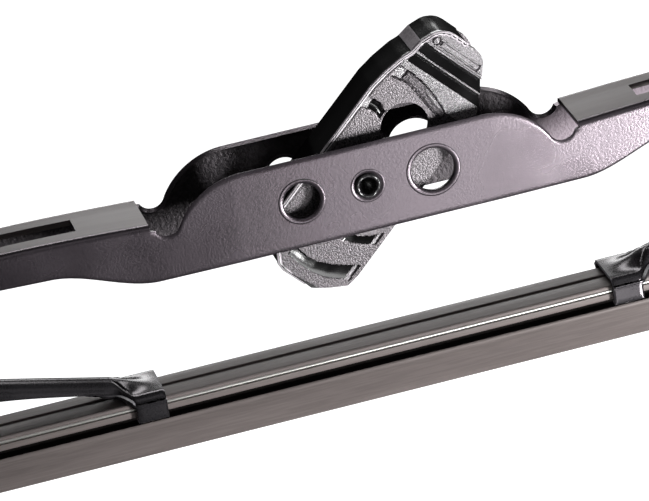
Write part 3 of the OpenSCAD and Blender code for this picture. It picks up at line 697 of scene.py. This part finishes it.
class WIPER_OT_adapter_rivet(bpy.types.Operator):
    """Tubular rivet with a ragged rolled rim, and the dished seat round it"""

    bl_idname = "wiper.adapter_rivet"
    bl_label = "Adapter rivet"

    def execute(self, context):
        low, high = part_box("adapter_rivet")
        half = BridgeShape().half
        turn = np.radians(np.linspace(180, 0, 11))
        rim = [((2.02 + 0.42 * np.cos(t)) * MM, -half - (0.02 + 0.42 * np.sin(t)) * MM) for t in turn]
        bowl = [(0.05 * MM, -half + 2.6 * MM), (1.1 * MM, -half + 2.3 * MM), (1.5 * MM, -half + 1.4 * MM),
            (1.58 * MM, -half + 0.5 * MM)]
        tail = [(2.46 * MM, -half + 0.3 * MM), (2.1 * MM, -half + 0.5 * MM), (2.1 * MM, half),
            (3.05 * MM, half + 0.02 * MM), (3.1 * MM, half + 0.5 * MM), (2.2 * MM, high.y - 0.02 * MM),
            (0.05 * MM, high.y)]

        def ragged(angle, r, y):
            """Uneven rim: a sum of sines of the angle moves its crest out and up by up to 0.15 mm."""
            sway = np.sin(3 * angle + 0.4) + 0.7 * np.sin(5 * angle + 2) + 0.4 * np.sin(9 * angle)
            crest = np.clip((-half - y) / (0.4 * MM), 0, 1) * (r > 1.7 * MM)
            return r + 0.05 * MM * sway * crest, y - 0.045 * MM * sway * crest

        points, faces = ring(bowl + rim + tail, 96, ragged)
        new_piece("adapter_rivet_dressed", points, faces, "bridge", [finish("rivet coat")],
            ["adapter_rivet"])
        seat = [(2.2 * MM, 1.0 * MM), (2.3 * MM, 0.35 * MM), (2.5 * MM, 0.2 * MM), (2.75 * MM, 0.06 * MM),
            (3.0 * MM, 0.005 * MM), (3.3 * MM, -0.008 * MM), (3.3 * MM, 0.05 * MM), (3.0 * MM, 1.0 * MM)]
        points, faces = ring(seat)
        points[:, 1] = points[:, 1] - half
        new_piece("rivet_seat", points, faces, "bridge", [finish("bridge coat")])
        return {"FINISHED"}


class ClipShape:
    """Outline and relief of the adapter in its own frame, in millimetres: x to the grip end, z up."""

    half = 4.7
    corner = 0.3
    angle = 43.3
    hole = (12.6, 4.6)
    marks = (-15.5, -6, 0, 8, 15.3, 17.2, 18.8, 21.7, 22.8, 24.6, 24.95, 25.05, 25.3, 27.2, 27.5, 27.6, 27.85,
        28.1, 28.35, 28.55, 29.4, 29.6)
    finishes = ("adapter plastic", "smooth plastic", "plastic with painted highlight", "plastic edge with painted highlight")

    def columns(self):
        """Top and low outline points of every column. Columns fan out round the tail and round the grip end
        and stand upright between them; the corners are then rounded by averaging neighbours."""
        tops = np.interp(self.marks, (-15.5, 15.3, 18.8, 22.8, 24.6, 27.2, 29.6),
            (10.2, 10.3, 9.8, 8.8, 8.0, 7.7, 6.7))
        lows = np.interp(self.marks, (-15.5, 21.5, 22.9, 27.6, 30.4), (-10.7, -10.2, -9.7, -6.8, -5.0))
        tail = [(-22.5, -3.2, -22.3, -4.5), (-22.5, -1.0, -22.0, -5.1), (-22.5, 1.9, -21.5, -5.9),
            (-22.0, 3.7, -21.0, -6.7), (-20.6, 5.0, -20.0, -8.1), (-17.0, 10.2, -18.2, -10.3)]
        tip = [(30.4, 6.1, 30.2, -5.15), (31.1, 5.2, 30.6, -4.75), (31.6, 4.2, 30.9, -4.4),
            (31.8, 3.0, 31.15, -4.0), (31.8, 1.5, 31.35, -3.5), (31.8, -0.5, 31.6, -2.2)]
        knots = np.array(tail + [(x, t, x, l) for x, t, l in zip(self.marks, tops, lows)] + tip)
        steps = np.diff(knots, axis=0)
        step = np.maximum(np.hypot(*steps[:, :2].T), np.hypot(*steps[:, 2:].T))
        count = np.maximum(1, np.ceil(step / 0.23)).astype(int)
        at = np.concatenate([k + np.arange(n) / n for k, n in enumerate(count)] + [[len(knots) - 1]])
        lines = np.stack([np.interp(at, np.arange(len(knots)), column) for column in knots.T], axis=1)
        padded = np.concatenate([lines[:1], lines[:1], lines, lines[-1:], lines[-1:]])
        return (padded[:-4] + 2 * padded[1:-3] + 3 * padded[2:-2] + 2 * padded[3:-1] + padded[4:]) / 9

    @staticmethod
    def band(x, z, left, right, ends):
        """Place across a curved band, 0 at its left line and 1 at its right line, and whether a point is in
        it. The lines are given as x for the heights in their second row."""
        a, b = np.interp(z, left[1], left[0]), np.interp(z, right[1], right[0])
        q = (x - a) / (b - a)
        return q, (q > 0) & (q < 1) & (z > ends[0]) & (z < ends[1])

    def relief(self, x, z, depth_in):
        """Depth of the moulded relief below the cheek's face. depth_in is the distance in from the top edge.
        Returns it and the surface's finish as its place in finishes: 0 grained, 1 smooth, 2 pale and 3 edge,
        both lighter as painted highlights."""
        h = np.zeros_like(x)
        smooth = np.zeros(x.shape, bool)
        # pale marks faces that take the lighter plastic, a painted highlight on the lip, the leaf and the
        # facets
        pale = (x > 21.7) | (x > np.interp(z, (-5, 0, 8), (18.6, 20.6, 21.4)))
        for start, end in ((22.8, 24.95), (25.3, 27.5)):
            on = (x >= start) & (x <= end + 0.01)
            h = np.where(on, 0.1 + 0.42 * (x - start), h)
            smooth |= on & (x < end - 0.1)
        h = np.where((x > 21.7) & (x < 22.8), 0.1 * (x - 21.7), h)
        h = np.where((x > 27.8) & (x < 28.12), 0.4, h)
        h = np.where(x > 28.3, 0.15, h)
        bar = np.maximum(np.abs(x - 28.98) - 0.42, np.abs(z + 0.5) - 4.3)
        pip = np.hypot(x - 28.95, z - 5.1) - 0.62
        for shape in (bar, pip):
            h = np.where((shape > 0) & (shape < 0.26), 0.5, np.where(shape <= 0, 0.02, h))
        head_left = ((17.1, 17.5, 17.9, 18.7, 19.2, 19.3, 18.8), (-4.9, -3, -1.4, 1.5, 3.6, 5.5, 8.5))
        head_right = ((18.6, 19.3, 20.45, 21.1, 21.4, 21.45, 21.4), (-5.1, -3.8, -0.65, 1.9, 3.9, 6, 7.9))
        q, on = self.band(x, z, head_left, head_right, (-5.4, 8.2))
        leaf = x - np.interp(z, (-4.8, -2, -0.1, 1.5, 1.6), (18.5, 18.9, 19.7, 20.65, 22))
        floor = 0.14 + 0.3 * (1 - q)
        floor = np.where(leaf > 0, 0.12 + 0.1 * leaf, floor)
        floor = np.where(z > 6.2, 0.05 + 0.17 * (8.1 - z) + 0.12 * q, floor)
        line = (np.abs(q - 0.04) < 0.06) | (np.abs(q - 0.96) < 0.05) | (np.abs(z - 6.1) < 0.1)
        h = np.where(on, np.where(line, 0.62, floor), h)
        pale = np.where(on, (leaf > 0) | (z > 6.2), pale)
        q, on = self.band(x, z, ((10.9, 11.6, 11.6, 11.3, 10.8), (4.7, 6.1, 7.5, 8.8, 10)),
            ((12.9, 13.5, 13.5, 13.2), (5.5, 6.6, 8.2, 9.8)), (4.9, 9.7))
        hollow = 0.12 + 0.55 * np.sin(np.pi * np.clip(q, 0, 1))
        floor = np.where(z > 8.2, 0.05 + 0.17 * (9.8 - z) + 0.12 * q, hollow)
        h = np.where(on, floor, h)
        smooth |= on & (z < 8.2)
        pale |= on & (z >= 8.2)
        tail_left = ((-17.3, -18.5, -19.4, -19.8, -19.7, -19.3), (-9.6, -7.4, -5, -2.3, 0.8, 3.5))
        tail_right = ((-13.7, -15, -16.6, -17.5, -17.7, -17.4), (-9.7, -7.9, -5, -2.5, -0.2, 2.1))
        inner_left = ((-9.1, -10.35, -11.3, -11.8), (-9.7, -7.6, -5.25, -3.5))
        inner_right = ((-6.3, -7.6, -8.55, -9.6), (-9.7, -8.6, -7.3, -5.6))
        for left, right, end in ((tail_left, tail_right, 3.2), (inner_left, inner_right, -3.8)):
            q, on = self.band(x, z, left, right, (-9.8, end))
            floor = 0.12 + 0.62 * np.clip(q, 0, 1) ** 1.6
            floor = np.where(z < -9, 0.1 + 0.3 * (-9 - z) + 0.3 * q, floor)
            h = np.where(on, floor, h)
            smooth |= on & (z > -9)
            pale |= on & (z <= -9)
        bead = 0.14 * np.exp(-((depth_in - 0.72) / 0.13) ** 2)
        inside = soft(depth_in, 0.85, 1.05)
        kind = np.where(smooth, 1, np.where(pale, 2, 0))
        kind = np.where(depth_in < 0.62, 1, kind)
        # The bead along the top edge takes finish 3, a painted highlight
        return bead + h * inside, np.where(np.abs(depth_in - 0.78) < 0.14, 3, kind)


class WIPER_OT_adapter_clip(bpy.types.Operator):
    """Moulded adapter: two cheeks with their relief, the web over them, and the hub between them"""

    bl_idname = "wiper.adapter_clip"
    bl_label = "Adapter clip"

    def execute(self, context):
        shape = ClipShape()
        lines = shape.columns()
        top, low = lines[:, :2], lines[:, 2:]
        along = np.gradient(top, axis=0)
        normal = np.stack([-along[:, 1], along[:, 0]], axis=1) / np.hypot(*along.T)[:, None]
        inner = top - normal * shape.corner
        near_rows, far_rows = 84, 36
        up, up_far = np.linspace(0, 1, near_rows), np.linspace(0, 1, far_rows)
        near = low[:, None] + (inner - low)[:, None] * up[None, :, None]
        gaps = near[:, :, None] - top[None, None, ::6]
        away = np.hypot(gaps[..., 0], gaps[..., 1]).min(axis=2)
        height = np.hypot(*(inner - low).T)[:, None] * (1 - up)[None, :]
        below = height * np.abs(normal[:, 1])[:, None] + shape.corner
        depth_in = np.where(near[:, :, 0] > 29.6, np.minimum(away, height + shape.corner), below)
        relief, near_finish = shape.relief(near[:, :, 0], near[:, :, 1], depth_in)
        angle = np.radians(np.linspace(0, 90, 6)[1:])
        turn = inner[:, None] + normal[:, None] * (shape.corner * np.sin(angle))[None, :, None]
        turn_y = -shape.half + shape.corner * (1 - np.cos(angle))
        web_y = np.array([-4.2, -4.08, -3.95, -3.4, 0, 3.4, 4.2])
        web_low = np.array([0, 0.1, 0.14, 0.14, 0.14, 0.14, 0])
        web = top[:, None] - normal[:, None] * web_low[None, :, None]
        far = inner[:, None] + (low - inner)[:, None] * up_far[None, :, None]
        flat = np.concatenate([near, turn, web, turn[:, ::-1], far], axis=1)
        rows, columns = flat.shape[:2]
        middle_y = np.tile(np.concatenate([turn_y, web_y, -turn_y[::-1]]), (rows, 1))
        side = np.concatenate([-shape.half + relief, middle_y, np.full((rows, far_rows), shape.half)], axis=1)
        points = np.stack([flat[:, :, 0], side, flat[:, :, 1]], -1).reshape(-1, 3)
        faces = grid_faces(rows, columns)[:, ::-1]
        faces = self.cut_holes(shape, points, faces, near_rows, far_rows, columns)
        finishes = np.ones((rows, columns), int)
        finishes[:, :near_rows] = near_finish
        finishes[:, columns - far_rows:] = 0
        # The rounded top edge and the web's facet take the edge finish, a painted highlight
        finishes[:, near_rows - 1:near_rows + 4] = 3
        facet_x = flat[:, near_rows + 6, 0]
        on_facet = (facet_x > 24.7) & (facet_x < 27.2)
        finishes[np.ix_(on_facet, np.arange(near_rows + 5, columns - far_rows - 5))] = 3
        index = finishes.ravel()[faces[:, 3]]
        wall = sizes().moulded_wall / MM
        inside = points.reshape(rows, columns, 3).copy()
        lift = np.full((rows, columns), wall)
        lift[:, :near_rows] = soft(up, 0.75, 1) * (wall - shape.corner)
        lift[:, columns - far_rows:] = soft(up_far[::-1], 0.75, 1) * (wall - shape.corner)
        centre = slice(near_rows, columns - far_rows)
        inside[:, centre, ::2] = top[:, None]
        inside[:, :, ::2] -= lift[:, :, None] * normal[:, None]
        inside[:, :, 1] = np.clip(inside[:, :, 1], wall - shape.half, shape.half - wall)
        points, faces = walled(points, inside.reshape(-1, 3), faces)
        index = np.pad(index, (0, len(faces) - len(index)))
        obj = new_piece("adapter_shell", self.turned(points), faces, "adapter",
            [finish(name) for name in shape.finishes], ["adapter_clip"])
        obj.data.polygons.foreach_set("material_index", index.astype(np.int32))
        obj.data.set_sharp_from_angle(angle=np.radians(40))
        hub = [(2.15, -6.25), (3.65, -6.25), (3.8, -6.1), (3.8, -4), (4.8, -4),
            (4.8, 4), (3.8, 4), (3.8, 6.1), (3.65, 6.25), (2.15, 6.25)]
        points, faces = ring(hub, 72)
        new_piece("adapter_hub", self.turned(points), faces, "adapter",
            [finish("adapter plastic")])
        return {"FINISHED"}

    @staticmethod
    def cut_holes(shape, points, faces, near_rows, far_rows, columns):
        """Cuts the round hole of the near cheek, the open notch of the far one and the rivet's hole in both.
        Returns the faces that are left; the points at the cuts are moved onto the circles."""
        across = np.arange(len(points)) % columns
        on_near, on_far = across < near_rows, across >= columns - far_rows
        place, radius = shape.hole
        faces = punch(points, faces, on_near, (place, 0), radius)
        middles = points[faces].mean(axis=1)
        notch = on_far[faces].all(axis=1) & (np.abs(middles[:, 0] - place) < radius) & (middles[:, 2] < 0)
        faces = punch(points, faces[~notch], on_far & (points[:, 2] > -0.4), (place, 0), radius)
        return punch(points, faces, on_near | on_far, (0, 0), 2.15)

    @staticmethod
    def turned(points):
        """Points of the adapter's own frame, in millimetres, turned up by its angle and given in metres."""
        a = np.radians(ClipShape.angle)
        x, y, z = np.asarray(points).T
        return np.stack([x * np.cos(a) - z * np.sin(a), y, x * np.sin(a) + z * np.cos(a)], axis=1) * MM


class ClawShape:
    """Sizes of the claws and the arms that carry them, in metres. e is the distance from a claw's middle
    towards its arm, and the heights come from the rubber's box."""

    def __init__(self):
        self.head_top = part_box("squeegee")[1].z
        self.roof = self.head_top + 1.45 * MM
        self.low = self.head_top - 3.95 * MM
        self.edge = 2.9 * MM
        self.arch = 2.9 * MM
        self.wide = 5.9 * MM
        self.ridge = self.roof + 1.5 * MM
        self.arch_low = self.roof - 1.3 * MM
        self.arch_top = self.roof + 0.3 * MM

    def shell(self, x, e, top, low, half, shoulder):
        """Outer face of an arm and its claws as one grid. Across it run the curled edge, the tab, the round
        shoulder, and the roof with the arm's ridge on it, then the same mirrored. Beyond a claw the tab's
        lower rows are left out and the side follows the arch up to the arm.
        Returns points and faces."""
        x, e = x[:, None], e[:, None]
        leaving = soft(e, self.edge - 0.5 * MM, self.edge + self.arch + 0.3 * MM)
        w = self.wide + (half[:, None] - self.wide) * leaving
        ridge = np.maximum(top[:, None], self.roof)
        at_shoulder = self.roof + (ridge - self.roof) * leaving
        r = 1.6 * MM + (shoulder - 1.6 * MM) * leaving
        rise = np.sqrt(np.maximum(1 - np.clip(1 - (e - self.edge) / self.arch, 0, 1) ** 2, 0))
        arched = self.arch_low + (self.arch_top - self.arch_low) * rise
        side_low = np.where(e <= self.edge, self.arch_low, arched)
        side_low = np.where(e >= self.edge + self.arch, low[:, None], side_low)
        tab_low = np.minimum(self.low, side_low - 1.2 * MM)
        one = np.ones_like(x)
        angle = np.radians(np.array([-90, -60, -30, 0]))[None, :]
        curl_y = np.concatenate([w - 1.5 * MM, w - 1 * MM, w - 0.5 * MM + 0.5 * MM * np.cos(angle)], axis=1)
        curl_z = np.concatenate([tab_low, tab_low, tab_low + 0.5 * MM + 0.5 * MM * np.sin(angle)], axis=1)
        down = np.linspace(0, 1, 6)[None, 1:]
        tab_z = curl_z[:, -1:] + (side_low - curl_z[:, -1:]) * down
        side_z = side_low + (at_shoulder - r - side_low) * np.linspace(0, 1, 9)[None, 1:]
        angle = np.radians(np.linspace(0, 90, 9)[1:])[None, :]
        turn_y, turn_z = w - r + r * np.cos(angle), at_shoulder - r + r * np.sin(angle)
        roof_y = (w - r) * np.linspace(1, 0, 8)[None, 1:]
        bump = 1 - soft(roof_y, 0.2 * MM, 4.3 * MM)
        crown = 0.15 * MM * (1 - (roof_y / (w - r)) ** 2) * leaving
        roof_z = at_shoulder + (ridge - at_shoulder) * bump + crown
        ys = np.concatenate([curl_y, np.repeat(w, 5, 1), np.repeat(w, 8, 1), turn_y, roof_y], axis=1)
        zs = np.concatenate([curl_z, tab_z, side_z, turn_z, roof_z], axis=1)
        count = ys.shape[1]
        ys = np.concatenate([-ys, ys[:, -2::-1]], axis=1)
        zs = np.concatenate([zs, zs[:, -2::-1]], axis=1)
        points = np.stack([x * np.ones_like(ys), ys, zs], -1).reshape(-1, 3)
        rows, columns = ys.shape
        faces = grid_faces(rows, columns)
        row, column = faces[:, 0] // columns, faces[:, 0] % columns
        beyond = (e[row, 0] > self.edge - 1e-7) & (e[np.minimum(row + 1, rows - 1), 0] > self.edge - 1e-7)
        lower = (column < 10) | (column >= columns - 11)
        return points, faces[~(beyond & lower)][:, ::-1]

    def claw_stations(self):
        """Distances from a claw's middle at which it and its hood get a section."""
        arch = self.edge + self.arch * (1 - np.cos(np.radians(np.arange(0, 91, 7.5))))
        return np.concatenate([np.linspace(-self.edge, self.edge, 13)[:-1], arch, self.edge + self.arch
            + np.array([0.3, 0.8, 1.5, 2.5, 4]) * MM])


class WIPER_OT_levers(bpy.types.Operator):
    """Levers and claw yokes, folded from sheet with smooth hoods over their claws"""

    bl_idname = "wiper.levers"
    bl_label = "Levers and yokes"

    def execute(self, context):
        # cut is the lighter edge coat: a painted highlight on the cut edges
        coated, cut = finish("lever coat"), finish("cut edge")
        claw = ClawShape()
        lever_x, _, lever_z = middle("lever_rivet_right")
        yoke_x, _, yoke_z = middle("yoke_rivet_right")
        claw_x = yoke_x / 4
        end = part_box("lever_right")[1].x
        start = claw_x + claw.edge + claw.arch
        x = np.concatenate([claw_x + claw.claw_stations(),
            np.arange(claw_x + 12 * MM, lever_x - 4 * MM, 1.5 * MM),
            np.arange(lever_x - 3.6 * MM, lever_x + 4 * MM, 0.6 * MM),
            np.arange(lever_x + 6 * MM, yoke_x - 4 * MM, 3 * MM),
            np.arange(yoke_x - 3.6 * MM, end - 0.3 * MM, 0.5 * MM), [end - 0.1 * MM, end]])
        crest = (lever_x - 12 * MM, lever_z + 3.4 * MM)
        first = (claw_x - 2.9 * MM, claw.roof)
        second = (claw_x + 6.2 * MM, claw.roof + 2.45 * MM)
        third = (claw_x + 27 * MM, claw.roof + 7.6 * MM)
        top = np.select([x < second[0], x < third[0], x < crest[0]], [ease(x, first, second, 0.0, 0.25),
            ease(x, second, third, 0.25, 0.24), ease(x, third, crest, 0.24, 0)],
            ease(x, crest, (end, yoke_z + 4.7 * MM), 0, -0.1))
        bend = (claw_x + 27 * MM, claw.roof + 4.5 * MM)
        under = (lever_x, lever_z - 3.6 * MM)
        tail = (yoke_x, yoke_z - 2.8 * MM)
        low = np.select([x < bend[0], x < under[0], x < tail[0]],
            [ease(x, (start, claw.arch_top), bend, 0.2, 0.14), ease(x, bend, under, 0.14, -0.04),
                ease(x, under, tail, -0.04, -0.12)],
            yoke_z - np.sqrt(np.maximum((end - yoke_x) ** 2 - (x - yoke_x) ** 2, 0)) * 2.8 / 4.3)
        half = np.interp(x, [claw_x, claw_x + 27 * MM, lever_x - 14 * MM], [2.75 * MM, 2.75 * MM, 4.1 * MM])
        points, faces = claw.shell(x, x - claw_x, top, low, half, 2.2 * MM)
        for centre, radius in (((lever_x, lever_z), 1.65 * MM), ((yoke_x, yoke_z), 1.42 * MM)):
            faces = punch(points, faces, np.ones(len(points), bool), centre, radius)
        self.both_sides("lever", points, faces, sizes().lever_sheet, [coated, coated, cut])
        crest_z, belly_z = yoke_z + 2.8 * MM, yoke_z - 2.7 * MM
        arm = claw_x - claw.claw_stations()
        x = np.concatenate([arm[::-1], np.arange(3, (claw_x - 12 * MM) / MM, 3) * MM,
            np.linspace(0, 2.4, 5) * MM])
        x = np.unique(np.round(np.concatenate([x, -x]), 8))
        away = np.abs(x)
        rim = claw_x - 3.2 * MM
        top = np.select([away < 4 * MM, away < rim], [np.full_like(away, crest_z),
            ease(away, (4 * MM, crest_z), (rim, claw.ridge - 0.3 * MM), 0, -0.2)],
            ease(away, (rim, claw.ridge - 0.3 * MM), (claw_x + 2.3 * MM, claw.roof), -0.22, -0.1))
        waist = (20 * MM, crest_z - 3.3 * MM)
        arch_end = (claw_x - claw.edge - claw.arch, claw.arch_top)
        low = np.select([away < 5 * MM, away < waist[0]], [np.full_like(away, belly_z),
            ease(away, (5 * MM, belly_z), waist, 0, -0.1)], ease(away, waist, arch_end, -0.1, -0.2))
        points, faces = claw.shell(x, claw_x - away, top, low, np.full_like(x, 2.3 * MM), 1.8 * MM)
        points[:, 0] += yoke_x
        faces = punch(points, faces, np.ones(len(points), bool), (yoke_x, yoke_z), 1.45 * MM)
        self.both_sides("claw_yoke", points, faces, sizes().yoke_sheet, [coated, coated, cut])
        return {"FINISHED"}

    @staticmethod
    def both_sides(name, points, faces, thickness, materials):
        """The piece on the right, and its mirror image on the left with its faces turned round."""
        for side, flip in (("right", 1), ("left", -1)):
            placed = points * np.array([flip, 1, 1])
            node = f"{name}_{side}"
            obj = new_piece(f"{node}_dressed", placed, faces[:, ::flip], node, materials,
                [node])
            fold(obj, thickness, 1, 2)
            round_edges(obj, sizes().lever_edge, 50)


class WIPER_OT_fasteners(bpy.types.Operator):
    """Rivets, liners and end clips"""

    bl_idname = "wiper.fasteners"
    bl_label = "Rivets, liners and end clips"

    def execute(self, context):
        dark, liner = finish("rivet coat"), finish("liner plastic")
        for side in ("left", "right"):
            for kind, body in (("lever", "bridge"), ("yoke", f"lever_{side}")):
                merged_copy(f"{kind}_rivet_{side}", dark, 0.05 * MM, body)
                merged_copy(f"{kind}_liner_{side}", liner, 0.1 * MM, body)
            merged_copy(f"end_clip_{side}", dark, 0.12 * MM, "bridge")
        return {"FINISHED"}


class WIPER_OT_rubber(bpy.types.Operator):
    """Rubber squeegee"""

    bl_idname = "wiper.rubber"
    bl_label = "Squeegee"

    def execute(self, context):
        low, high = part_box("squeegee")
        top, half = high.z / MM, high.y / MM
        right = [(0.6, top - 0.4, 0.1), (0.62, top, 0.15), (half - 0.1, top - 0.1, 0.5),
            (half, top - 0.9, 0.08), (half - 2.6, top - 0.9, 0), (half - 2.6, top - 1.7, 0),
            (half, top - 1.7, 0.08), (half, top - 3.0, 0.8), (half - 0.9, top - 3.1, 0.1),
            (0.8, top - 3.1, 0), (0.8, top - 5.3, 0.2), (2.75, top - 5.5, 0.35), (2.9, top - 6.3, 0.5),
            (2.4, top - 7.1, 0.3), (0.45, low.z / MM, 0.1)]
        profile = rounded(right + [(-y, z, r) for y, z, r in reversed(right)], 5) * MM
        places = np.linspace(low.x, high.x, 41)
        points, faces = extruded(profile[::-1], places)
        obj = new_piece("squeegee_dressed", points, faces, "bridge",
            [finish("squeegee rubber"), finish("neck rubber in painted shade")], ["squeegee"])
        heights = np.array([points[f, 2].mean() for f in faces]) / MM - top
        # Faces in the neck take the darker rubber: painted shade under the head
        in_painted_neck_shade = (heights < -3.2) & (heights > -5.55)
        obj.data.polygons.foreach_set("material_index", in_painted_neck_shade.astype(np.int32))
        obj.data.set_sharp_from_angle(angle=np.radians(35))
        return {"FINISHED"}


class WIPER_OT_rails(bpy.types.Operator):
    """Two bright spring rails in the rubber's slots"""

    bl_idname = "wiper.rails"
    bl_label = "Spring rails"

    def execute(self, context):
        for side in ("front", "back"):
            low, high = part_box(f"rail_{side}")
            outer, inner = (high.y, low.y) if side == "back" else (low.y, high.y)
            away = MM if side == "back" else -MM
            middle_z = (low.z + high.z) / 2
            edge = [(outer - 0.42 * away * (1 - np.cos(a)), middle_z + (high.z - middle_z) * np.sin(a))
                for a in np.radians(np.linspace(-80, 80, 13))]
            shoulder = outer - 0.6 * away
            profile = edge + [(shoulder, high.z), (inner, high.z), (inner, low.z), (shoulder, low.z)]
            if side == "front":
                profile = profile[::-1]
            points, faces = extruded(profile, np.linspace(low.x, high.x, 21))
            obj = new_piece(f"rail_{side}_dressed", points, faces, "bridge",
                [finish("rail steel")], [f"rail_{side}"])
            obj.data.set_sharp_from_angle(angle=np.radians(35))
        return {"FINISHED"}


def camera_axes(azimuth, elevation, roll):
    """Unit vectors of a camera that looks at the blade: to the right, up and back towards the camera."""
    a, e, r = np.radians([azimuth, elevation, roll])
    back = np.array([np.sin(a) * np.cos(e), -np.cos(a) * np.cos(e), np.sin(e)])
    right = np.array([np.cos(a), np.sin(a), 0])
    up = np.cross(back, right)
    return right * np.cos(r) - up * np.sin(r), right * np.sin(r) + up * np.cos(r), back


def add_lamp(name, place, target, wide, high, radiance):
    """Square softbox at a place, turned to its target, whose face has the given radiance."""
    light = bpy.data.lights.new(name, "AREA")
    light.shape = "RECTANGLE"
    light.size, light.size_y = wide, high
    light.energy = radiance * np.pi * wide * high
    lamp = bpy.data.objects.new(name, light)
    lamp.location = place
    lamp.rotation_euler = (Vector(place) - Vector(target)).to_track_quat("Z", "Y").to_euler()
    lamp.visible_camera = False
    bpy.context.scene.collection.objects.link(lamp)


class WIPER_OT_studio(bpy.types.Operator):
    """Camera, pale floor, white world and soft lamps"""

    bl_idname = "wiper.studio"
    bl_label = "Studio"

    def execute(self, context):
        scene = context.scene
        studio = scene.studio_settings
        right, up, back = camera_axes(studio.azimuth, studio.elevation, studio.roll)
        anchor = np.array([0, -7.7 * MM, 0])
        anchor_pixel = np.array([368.2, 186.0])
        offset = anchor_pixel - np.array([IMAGE_WIDTH, IMAGE_HEIGHT]) / 2
        target = anchor + (up * offset[1] - right * offset[0]) / studio.pixels_per_metre
        camera = bpy.data.objects.new("camera", bpy.data.cameras.new("camera"))
        camera.data.sensor_width = 36
        camera.data.lens = studio.pixels_per_metre * studio.distance * 36 / IMAGE_WIDTH
        camera.matrix_world = Matrix(np.stack([right, up, back], axis=1).tolist()).to_4x4()
        camera.location = target + back * studio.distance
        camera.data.clip_start, camera.data.clip_end = 0.05, 50
        scene.collection.objects.link(camera)
        scene.camera = camera
        scene.view_settings.view_transform = "Standard"
        self.make_floor(studio.floor_drop)
        self.make_world(scene)
        for lamp in LAMPS:
            add_lamp(*lamp)
        return {"FINISHED"}

    def make_floor(self, drop):
        """Pale round floor, lit by the lamps and lifted to white for the camera."""
        angle = np.linspace(0, 2 * np.pi, 64, endpoint=False)
        points = np.stack([12 * np.cos(angle), 12 * np.sin(angle), np.full(64, -drop)], -1)
        mesh = bpy.data.meshes.new("floor")
        mesh.from_pydata(points.tolist(), [], [list(range(64))])
        floor = bpy.data.objects.new("floor", mesh)
        bpy.context.scene.collection.objects.link(floor)
        material = bpy.data.materials.new("pale floor")
        material.use_nodes = True
        tree = material.node_tree
        surface = tree.nodes["Principled BSDF"]
        surface.inputs["Base Color"].default_value = (0.6, 0.6, 0.6, 1)
        surface.inputs["Roughness"].default_value = 0.9
        surface.inputs["Specular IOR Level"].default_value = 0.1
        surface.inputs["Emission Color"].default_value = (1, 1, 1, 1)
        tree.links.new(math(tree, "MULTIPLY", seen_rays(tree), 1.0), surface.inputs["Emission Strength"])
        mesh.materials.append(material)
        floor.visible_glossy = False

    def make_world(self, scene):
        """World that is white where it is seen. Mirrored, it is grey behind the blade and dark elsewhere, as
        in a studio with black curtains, and matt surfaces get a soft even light from it."""
        world = bpy.data.worlds.new("studio")
        scene.world = world
        world.use_nodes = True
        tree = world.node_tree
        background = tree.nodes["Background"]
        background.inputs["Color"].default_value = (1, 1, 1, 1)
        ray = add(tree, "TexCoord").outputs["Generated"]
        towards = add(tree, "VectorMath", {"operation": "DOT_PRODUCT"}, i0=ray,
            i1=tuple(Vector((0.2, 0.88, 0.42)).normalized()))
        mirrored = add(tree, "MapRange", {"interpolation_type": "SMOOTHSTEP"}, Value=towards.outputs["Value"],
            From_Min=0.8, From_Max=1.0, To_Min=0.02, To_Max=0.08).outputs[0]
        path = add(tree, "LightPath")
        seen = math(tree, "MAXIMUM", path.outputs["Is Camera Ray"], path.outputs["Is Transmission Ray"])
        glossy = add(tree, "Mix", {"data_type": "FLOAT"}, i0=path.outputs["Is Glossy Ray"], i2=0.1,
            i3=mirrored)
        strength = add(tree, "Mix", {"data_type": "FLOAT"}, i0=seen, i2=glossy.outputs[0], i3=1.0)
        tree.links.new(strength.outputs[0], background.inputs["Strength"])


def seen_rays(tree):
    """1 for camera, glossy and transmission rays, else 0."""
    path = add(tree, "LightPath")
    seen = math(tree, "MAXIMUM", path.outputs["Is Camera Ray"], path.outputs["Is Glossy Ray"])
    return math(tree, "MAXIMUM", seen, path.outputs["Is Transmission Ray"])


class WIPER_PT_panel(bpy.types.Panel):
    """Sizes, colours and steps of the wiper blade"""

    bl_label = "Wiper blade"
    bl_idname = "WIPER_PT_panel"
    bl_space_type = "VIEW_3D"
    bl_region_type = "UI"
    bl_category = "Wiper"

    def draw(self, context):
        for group in (context.scene.blade_sizes, context.scene.blade_colours, context.scene.studio_settings):
            box = self.layout.box()
            for name in group.__annotations__:
                box.prop(group, name)
        for step in STEPS:
            self.layout.operator(step.bl_idname)


GROUPS = {"blade_sizes": BladeSizes, "blade_colours": BladeColours, "studio_settings": StudioSettings}
STEPS = (WIPER_OT_bridge, WIPER_OT_adapter_rivet, WIPER_OT_adapter_clip, WIPER_OT_levers, WIPER_OT_fasteners,
    WIPER_OT_rubber, WIPER_OT_rails, WIPER_OT_studio)


def register():
    """Registers every class and hangs the groups on the scene."""
    for cls in (*GROUPS.values(), *STEPS, WIPER_PT_panel):
        bpy.utils.register_class(cls)
    for name, cls in GROUPS.items():
        setattr(bpy.types.Scene, name, bpy.props.PointerProperty(type=cls))


def unregister():
    """Takes everything away again."""
    for name in GROUPS:
        delattr(bpy.types.Scene, name)
    for cls in reversed((*GROUPS.values(), *STEPS, WIPER_PT_panel)):
        bpy.utils.unregister_class(cls)


def main():
    """Runs every step in order."""
    register()
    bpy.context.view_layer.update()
    for step in STEPS:
        group, name = step.bl_idname.split(".")
        getattr(getattr(bpy.ops, group), name)()


if __name__ == "__main__":
    main()
